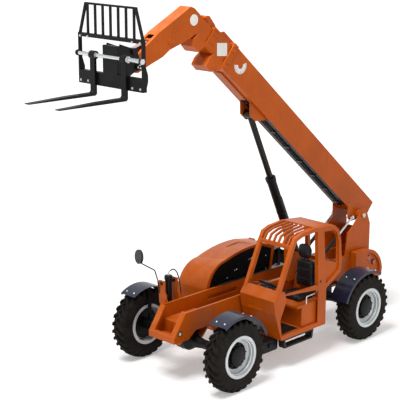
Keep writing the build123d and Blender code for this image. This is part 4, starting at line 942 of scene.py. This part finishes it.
posts = [tube([(-0.548, y, 1.72), (-0.545, y, 1.79), (-0.52, y, 1.83)], 0.008, 8)
         for y in (seat_y - 0.05, seat_y + 0.05)]
shell = placed(lathe([(0.001, 0), (0.120, 0), (0.126, 0.006), (0.116, 0.022), (0.001, 0.024)], 28),
               (-0.536, seat_y, 1.895), (-1, 0, 0))
piece("headrest_posts", joined([*posts, shell]), black_plastic, "chassis")
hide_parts("seat_back")
print("seat pads: 3")

# %% [markdown]
# ## The driver's dials
# Three round dials sit in a moulded panel. They are generic: a pale face, plain ticks and a needle.

# %% Dials
back_way = (-1, 0, 0)
panel = placed(block(0.150, 0.280, 0.006), (0.540, 0.700, 1.190), back_way, (0, 0, 1))
bezels, dials, marks = [], [], []
for y, z, r in ((0.615, 1.205, 0.040), (0.700, 1.215, 0.046), (0.785, 1.205, 0.040)):
    spot = np.array([0.534, y, z])
    bezel = lathe([(r - 0.006, 0), (r - 0.006, 0.006), (r, 0.008), (r + 0.003, 0)], 28, True)
    bezels.append(placed(bezel, spot, back_way))
    dials.append(placed(disc(r - 0.005, 0.002), spot, back_way))
    marks.append(placed(block(0.8 * r, 0.003, 0.001), spot + [-0.0025, 0, 0], back_way, (0, 0.6, 0.8)))
    for angle in np.radians(np.linspace(-40, 220, 11)):
        outward_way = np.array([0, cos(angle), sin(angle)])
        marks.append(placed(block(0.008, 0.0022, 0.001), spot + [-0.0022, 0, 0] + (r - 0.014) * outward_way,
                            back_way, outward_way))
piece("dash_panel", joined([panel, *bezels]), black_plastic, "chassis")
piece("dial_faces", joined(dials), white_enamel, "chassis")
piece("dial_marks", joined(marks), black_plastic, "chassis")

print("dials:", len(dials))

# %% [markdown]
# ## The driver's levers and wheel
# Three small levers stand in rubber boots, and a spinner knob is clamped to the steering wheel, whose column
# has a moulded shroud.

# %% Levers and wheel
ball = np.linspace(-pi / 2 + 0.05, pi / 2 - 0.05, 9)
knob = lathe(np.column_stack([0.020 * np.cos(ball), 0.020 + 0.022 * np.sin(ball)]), 18)
levers, boots = [], []
for y in (0.565, 0.600, 0.635):
    levers.append(tube([(0.60, y, 1.285), (0.59, y, 1.34), (0.565, y, 1.385)], 0.006, 8))
    boots.append(placed(knob, (0.568, y, 1.372), (-0.4, 0, 1)))
    boots.append(placed(lathe([(0.022, 0), (0.020, 0.010), (0.010, 0.022), (0.001, 0.024)], 14), (0.60, y, 1.289)))
piece("lever_rods", joined(levers), zinc, "chassis")
piece("lever_knobs", joined(boots), black_plastic, "chassis")

steering_hub = np.array([0.400, 0.700, 1.470])
wheel_out = np.array([-0.5, 0, 0.87])
rim_spot = steering_hub + 0.165 * np.array([-0.66, 0.60, -0.38])
spinner = lathe([(0.012, 0), (0.010, 0.018), (0.021, 0.024), (0.023, 0.046), (0.016, 0.056), (0.001, 0.058)], 18)
piece("spinner_knob", placed(spinner, rim_spot + 0.012 * wheel_out, wheel_out), black_plastic, "chassis")
shroud = rounded_block((0.115, 0.120, 0.060), 0.6, 20, 40)
piece("column_shroud", placed(shroud, steering_hub - 0.085 * wheel_out, wheel_out), black_plastic, "chassis",
      smooth=50)
print("levers:", len(levers))

# %% [markdown]
# ## Pedals and mat
# Two steel pedals hang on bent arms, and a ribbed rubber mat covers the cab's floor.

# %% Pedals and mat
pedals = []
for y, wide in ((0.62, 0.07), (0.80, 0.10)):
    pedals.append(placed(block(0.11, wide, 0.010), (0.53, y, 0.745), (-0.75, 0, 0.66), (0.66, 0, 0.75)))
    pedals.append(tube([(0.585, y, 0.641), (0.575, y, 0.70), (0.545, y, 0.738)], 0.012, 8))
piece("pedals", joined(pedals), step_grip, "chassis")
mat_length, mat_x = 0.48, 0.26
mat = [placed(block(mat_length, 0.60, 0.005), (mat_x, 0.77, 0.640))]
mat += [placed(block(mat_length - 0.02, 0.010, 0.004), (mat_x, y, 0.645)) for y in np.linspace(0.49, 1.05, 25)]
piece("floor_mat", joined(mat), hose_rubber, "chassis")
print("pedals: 2, ribs in the mat:", len(mat) - 1)

# %% [markdown]
# ## On the engine
# Under the hood a ribbed rocker cover, an air cleaner and four intake runners on a rail sit on the engine
# block. They are cast, apart from the cleaner's plastic shell.

# %% Engine parts
rocker = placed(block(0.74, 0.20, 0.055), (-0.10, -0.72, 1.222))
rib = [placed(block(0.012, 0.17, 0.006), (x, -0.72, 1.277)) for x in np.linspace(-0.40, 0.20, 11)]
runners = [tube(smooth_path([(x, -0.62, 1.15), (x, -0.555, 1.20), (x, -0.535, 1.12), (x, -0.535, 1.02)], 5),
                0.022, 10) for x in (-0.38, -0.20, -0.02, 0.16)]
rail = placed(disc(0.034, 0.70, 16), (-0.46, -0.535, 1.00), (1, 0, 0), (0, 0, 1))
cleaner = placed(lathe([(0.001, 0), (0.070, 0), (0.078, 0.01), (0.078, 0.34), (0.083, 0.35), (0.083, 0.37),
                        (0.060, 0.385), (0.001, 0.387)], 28), (0.10, -0.96, 1.235), (-1, 0, 0), (0, 0, 1))
piece("engine_top", joined([rocker, *rib, *runners, rail]), cast_iron, "chassis")
piece("air_cleaner", cleaner, black_plastic, "chassis")

print("runners:", len(runners))

# %% [markdown]
# ## Small hardware
# Draw latches hold the hood, rubber rings hold the rear lamps, bolts hold the fork carriage together, and
# clamped collars keep its shaft in place.

# %% Small hardware
lamp_ring = lathe([(0.045, 0), (0.045, 0.014), (0.050, 0.018), (0.056, 0.012), (0.058, 0)], 28, True)
rings = [ring for x, z in ((-2.855, 1.170), (-3.025, 1.055)) for ring in both_sides(lamp_ring, x, 0.4055, z)]
piece("rear_lamp_rings", joined(rings), hose_rubber, body_of_node["rear_lamps"])

hood_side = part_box("hood")[0][1]
latches = [placed(block(long, high, deep), (x, hood_side, z), (0, -1, 0), (1, 0, 0)) for x in (-0.62, -0.10, 0.42)
           for long, high, deep, z in ((0.030, 0.060, 0.012, 1.235), (0.022, 0.045, 0.020, 1.245))]
piece("hood_latches", joined(latches), black_plastic, "hood")

plate_face = 3.385
bolt_places = [(plate_face, y, z) for y in (-0.70, -0.52, 0.52, 0.70) for z in (5.27, 5.97)]
piece("carriage_bolts", row(hex_bolt(0.034), bolt_places, (1, 0, 0)), zinc, "fork_carriage")
collar = lathe([(0.033, 0), (0.050, 0.002), (0.050, 0.030), (0.033, 0.032)], 24, True)
collars = [half for y in (0.425, 0.285) for half in both_sides(collar, 3.400, y, 5.700)]
piece("shaft_collars", joined(collars), zinc, "fork_carriage")
mirror_way = np.array([-1, 0.25, -0.1]) / np.linalg.norm([-1, 0.25, -0.1])
silvered = lathe([(0.001, 0), (0.113, 0), (0.113, 0.0015), (0.001, 0.0018)], 36)
piece("mirror_glass", placed(silvered, np.array([2.130, -0.800, 2.020]) + 0.0405 * mirror_way, mirror_way),
      mirror_glass, "chassis")
plug = lathe([(0.001, 0), (0.024, 0), (0.024, 0.003), (0.015, 0.006), (0.001, 0.006)], 20)
piece("post_plug", placed(plug, (-0.478, 1.1602, 1.417), (0, 1, 0)), black_plastic, "chassis")
print("hardware done")

# %% [markdown]
# ## Under the machine
# A propeller shaft with two joints runs from the gearbox back to the rear axle, and a black steel tank with
# two straps and a filler cap hangs under the cab in front of the step. The tank's black also stands in for the
# shade under the cab, as painted shade.

# %% Underside


def rounded_outline(wide, deep, radius, count=6):
    """A rectangle with quarter circles at its corners."""
    turns = [(sx, sy, radians(start + 90 * i / (count - 1)))
             for sx, sy, start in ((1, 1, 0), (-1, 1, 90), (-1, -1, 180), (1, -1, 270)) for i in range(count)]
    return [((wide / 2 - radius) * sx + radius * cos(v), (deep / 2 - radius) * sy + radius * sin(v))
            for sx, sy, v in turns]


def upright_plate(wide, deep, radius, thickness, y):
    """A rounded plate that faces left, at the tank's middle."""
    return placed(plate(rounded_outline(wide, deep, radius), thickness), (0.700, y, 0.467), (0, 1, 0), (0, 0, 1))


# the tank is black enamel, and its black is also painted shade under the cab
tank = [upright_plate(0.195, 0.40, 0.040, 0.60, 0.420)]
tank += [upright_plate(0.201, 0.406, 0.043, 0.030, y) for y in (0.50, 0.90)]
cap = lathe([(0.001, 0), (0.040, 0), (0.045, 0.006), (0.045, 0.024), (0.038, 0.030), (0.001, 0.030)], 20)
piece("belly_tank_and_painted_shade", joined([*tank, placed(cap, (0.700, 1.020, 0.480), (0, 1, 0))]), black_enamel, "chassis")

yoke = lathe([(0.001, 0), (0.055, 0), (0.060, 0.008), (0.060, 0.030), (0.034, 0.050), (0.034, 0.09),
              (0.001, 0.09)], 20)
start, end = np.array([-0.62, 0, 0.50]), np.array([-1.38, 0, 0.48])
gearbox = placed(plate(rounded_outline(0.40, 0.30, 0.05), 0.34), (-0.42, -0.17, 0.50), (0, 1, 0), (1, 0, 0))
piece("drive_line", joined([placed(yoke, start, end - start), tube([start, end], 0.034, 14),
                            placed(yoke, end, start - end), gearbox]), black_enamel, "chassis")
print("tank and drive line done")

# %% [markdown]
# ## Axle covers and small trim
# A domed iron cover with a ring of bolts closes each axle's middle. A moulded pod stands over the dials, a
# steel strip takes the boom's wear, and domed bolts hold the grille.

# %% Axle covers and trim
a = np.linspace(0, pi / 2, 8)
bowl = lathe(np.column_stack([np.maximum(0.150 * np.cos(a), 0.001), 0.115 * np.sin(a)]), 28)
flange = lathe([(0.001, -0.012), (0.172, -0.012), (0.172, 0.006), (0.001, 0.006)], 32)
for name, body, x, way in (("front_diff", "front_axle", 1.825, 1), ("rear_diff", "chassis", -1.825, -1)):
    out = (way, 0, 0)
    bolts = bolt_ring(0.024, (x + way * 0.006, 0, 0.635), 0.161, 10, out)
    piece(name, joined([placed(bowl, (x, 0, 0.635), out), placed(flange, (x, 0, 0.635), out), bolts]),
          black_enamel, body)

pod = rounded_block((0.095, 0.155, 0.075), 0.55, 20, 40)
piece("dash_pod", (pod[0] + [0.645, 0.700, 1.320], pod[1]), black_plastic, "chassis", smooth=50)
strip = placed(block(1.75, 0.024, 0.004), (-0.15, -0.302, 1.2502))
piece("top_wear_strip", strip, rubbed_steel, "chassis")
grille_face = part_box("hood_grille")[1][1] - 0.001
dots = [(0.30, 1.30), (0.10, 1.40), (0.05, 1.41), (-0.28, 1.53), (-0.32, 1.535), (-0.36, 1.54), (-0.75, 1.50),
        (-0.75, 1.25)]
piece("grille_bolts", row(dome_bolt(0.026), [(x, grille_face, z) for x, z in dots], (0, 1, 0)), zinc, "hood")
print("axle covers and trim done")

# %% [markdown]
# ## Floor, light and camera
# A plain pale floor catches the shadow. One large soft lamp above and in front gives the form, and an even
# sky fills the rest. The camera has a long lens and looks down a little, from the front left corner.

# %% Stage


def flat_floor(half):
    """A square on the ground, with its faces up."""
    corners_xy = [(-half, -half), (half, -half), (half, half), (-half, half)]
    return np.array([(x, y, 0) for x, y in corners_xy], float), [[0, 1, 2, 3]]


def seen_rays(tree):
    """1 for rays that the camera sees, also in a reflection or through glass, and 0 for rays that light."""
    seen = add(tree, "LightPath").node.outputs
    either = add(tree, "Math", {0: seen["Is Camera Ray"], 1: seen["Is Glossy Ray"]}, operation="MAXIMUM")
    return add(tree, "Math", {0: either, 1: seen["Is Transmission Ray"]}, operation="MAXIMUM")


paper, tree, place = new_finish("white_studio_floor", Roughness=0.9, Specular_IOR_Level=0.0)
mottle = clouds(tree, place, 0.5, 3, 0.3, 0.7)
base = add(tree, "Mix", {0: mottle, 6: linear("#EDEDEC"), 7: linear("#F2F2F1")}, 2, data_type="RGBA")
wire(tree, Base_Color=base)
# the floor glows a little more far away, so that it meets the white sky
distance = add(tree, "VectorMath", {0: place}, 1, operation="LENGTH")
strength = add(tree, "MapRange", {0: distance, 1: 4, 2: 16, 3: 0.30, 4: 0.75})
strength = add(tree, "Math", {0: seen_rays(tree), 1: strength}, operation="MULTIPLY")
glow = add(tree, "Emission", {"Color": (1, 1, 1, 1), "Strength": strength})
both = add(tree, "AddShader", {0: tree.nodes["Principled BSDF"].outputs[0], 1: glow})
tree.links.new(both, tree.nodes["Material Output"].inputs[0])
floor = piece("floor", flat_floor(60.0), paper, None)

scene = bpy.context.scene
world = bpy.data.worlds.new("studio")
scene.world = world
world.use_nodes = True
tree = world.node_tree
sky = add(tree, "MapRange", {0: seen_rays(tree), 3: 0.44, 4: 1.0})
background = tree.nodes["Background"]
background.inputs["Color"].default_value = (1, 1, 1, 1)
tree.links.new(sky, background.inputs["Strength"])


def lamp(name, place, aim, size, watts):
    """A square soft lamp at a place, turned to its aim."""
    light = bpy.data.lights.new(name, "AREA")
    light.shape = "SQUARE"
    light.size = size
    light.energy = watts
    made = bpy.data.objects.new(name, light)
    scene.collection.objects.link(made)
    made.location = place
    made.rotation_euler = (Vector(aim) - Vector(place)).to_track_quat("-Z", "Y").to_euler()


lamp("key", (7, 1, 16), (0.5, 0, 1.5), 7, 2600)
lamp("side_fill", (2, 16, 7), (0, 0, 2), 8, 500)

camera = bpy.data.cameras.new("camera")
camera.lens = 109.8
camera.sensor_width = 36
camera.clip_end = 200
view = bpy.data.objects.new("camera", camera)
scene.collection.objects.link(view)
view.location = (15.697, 14.263, 8.299)
yaw, pitch = radians(224.95), radians(14.568)
ahead = Vector((cos(yaw) * cos(pitch), sin(yaw) * cos(pitch), -sin(pitch)))
view.rotation_euler = ahead.to_track_quat("-Z", "Y").to_euler()
scene.camera = view
scene.view_settings.view_transform = "Standard"
print("stage ready")
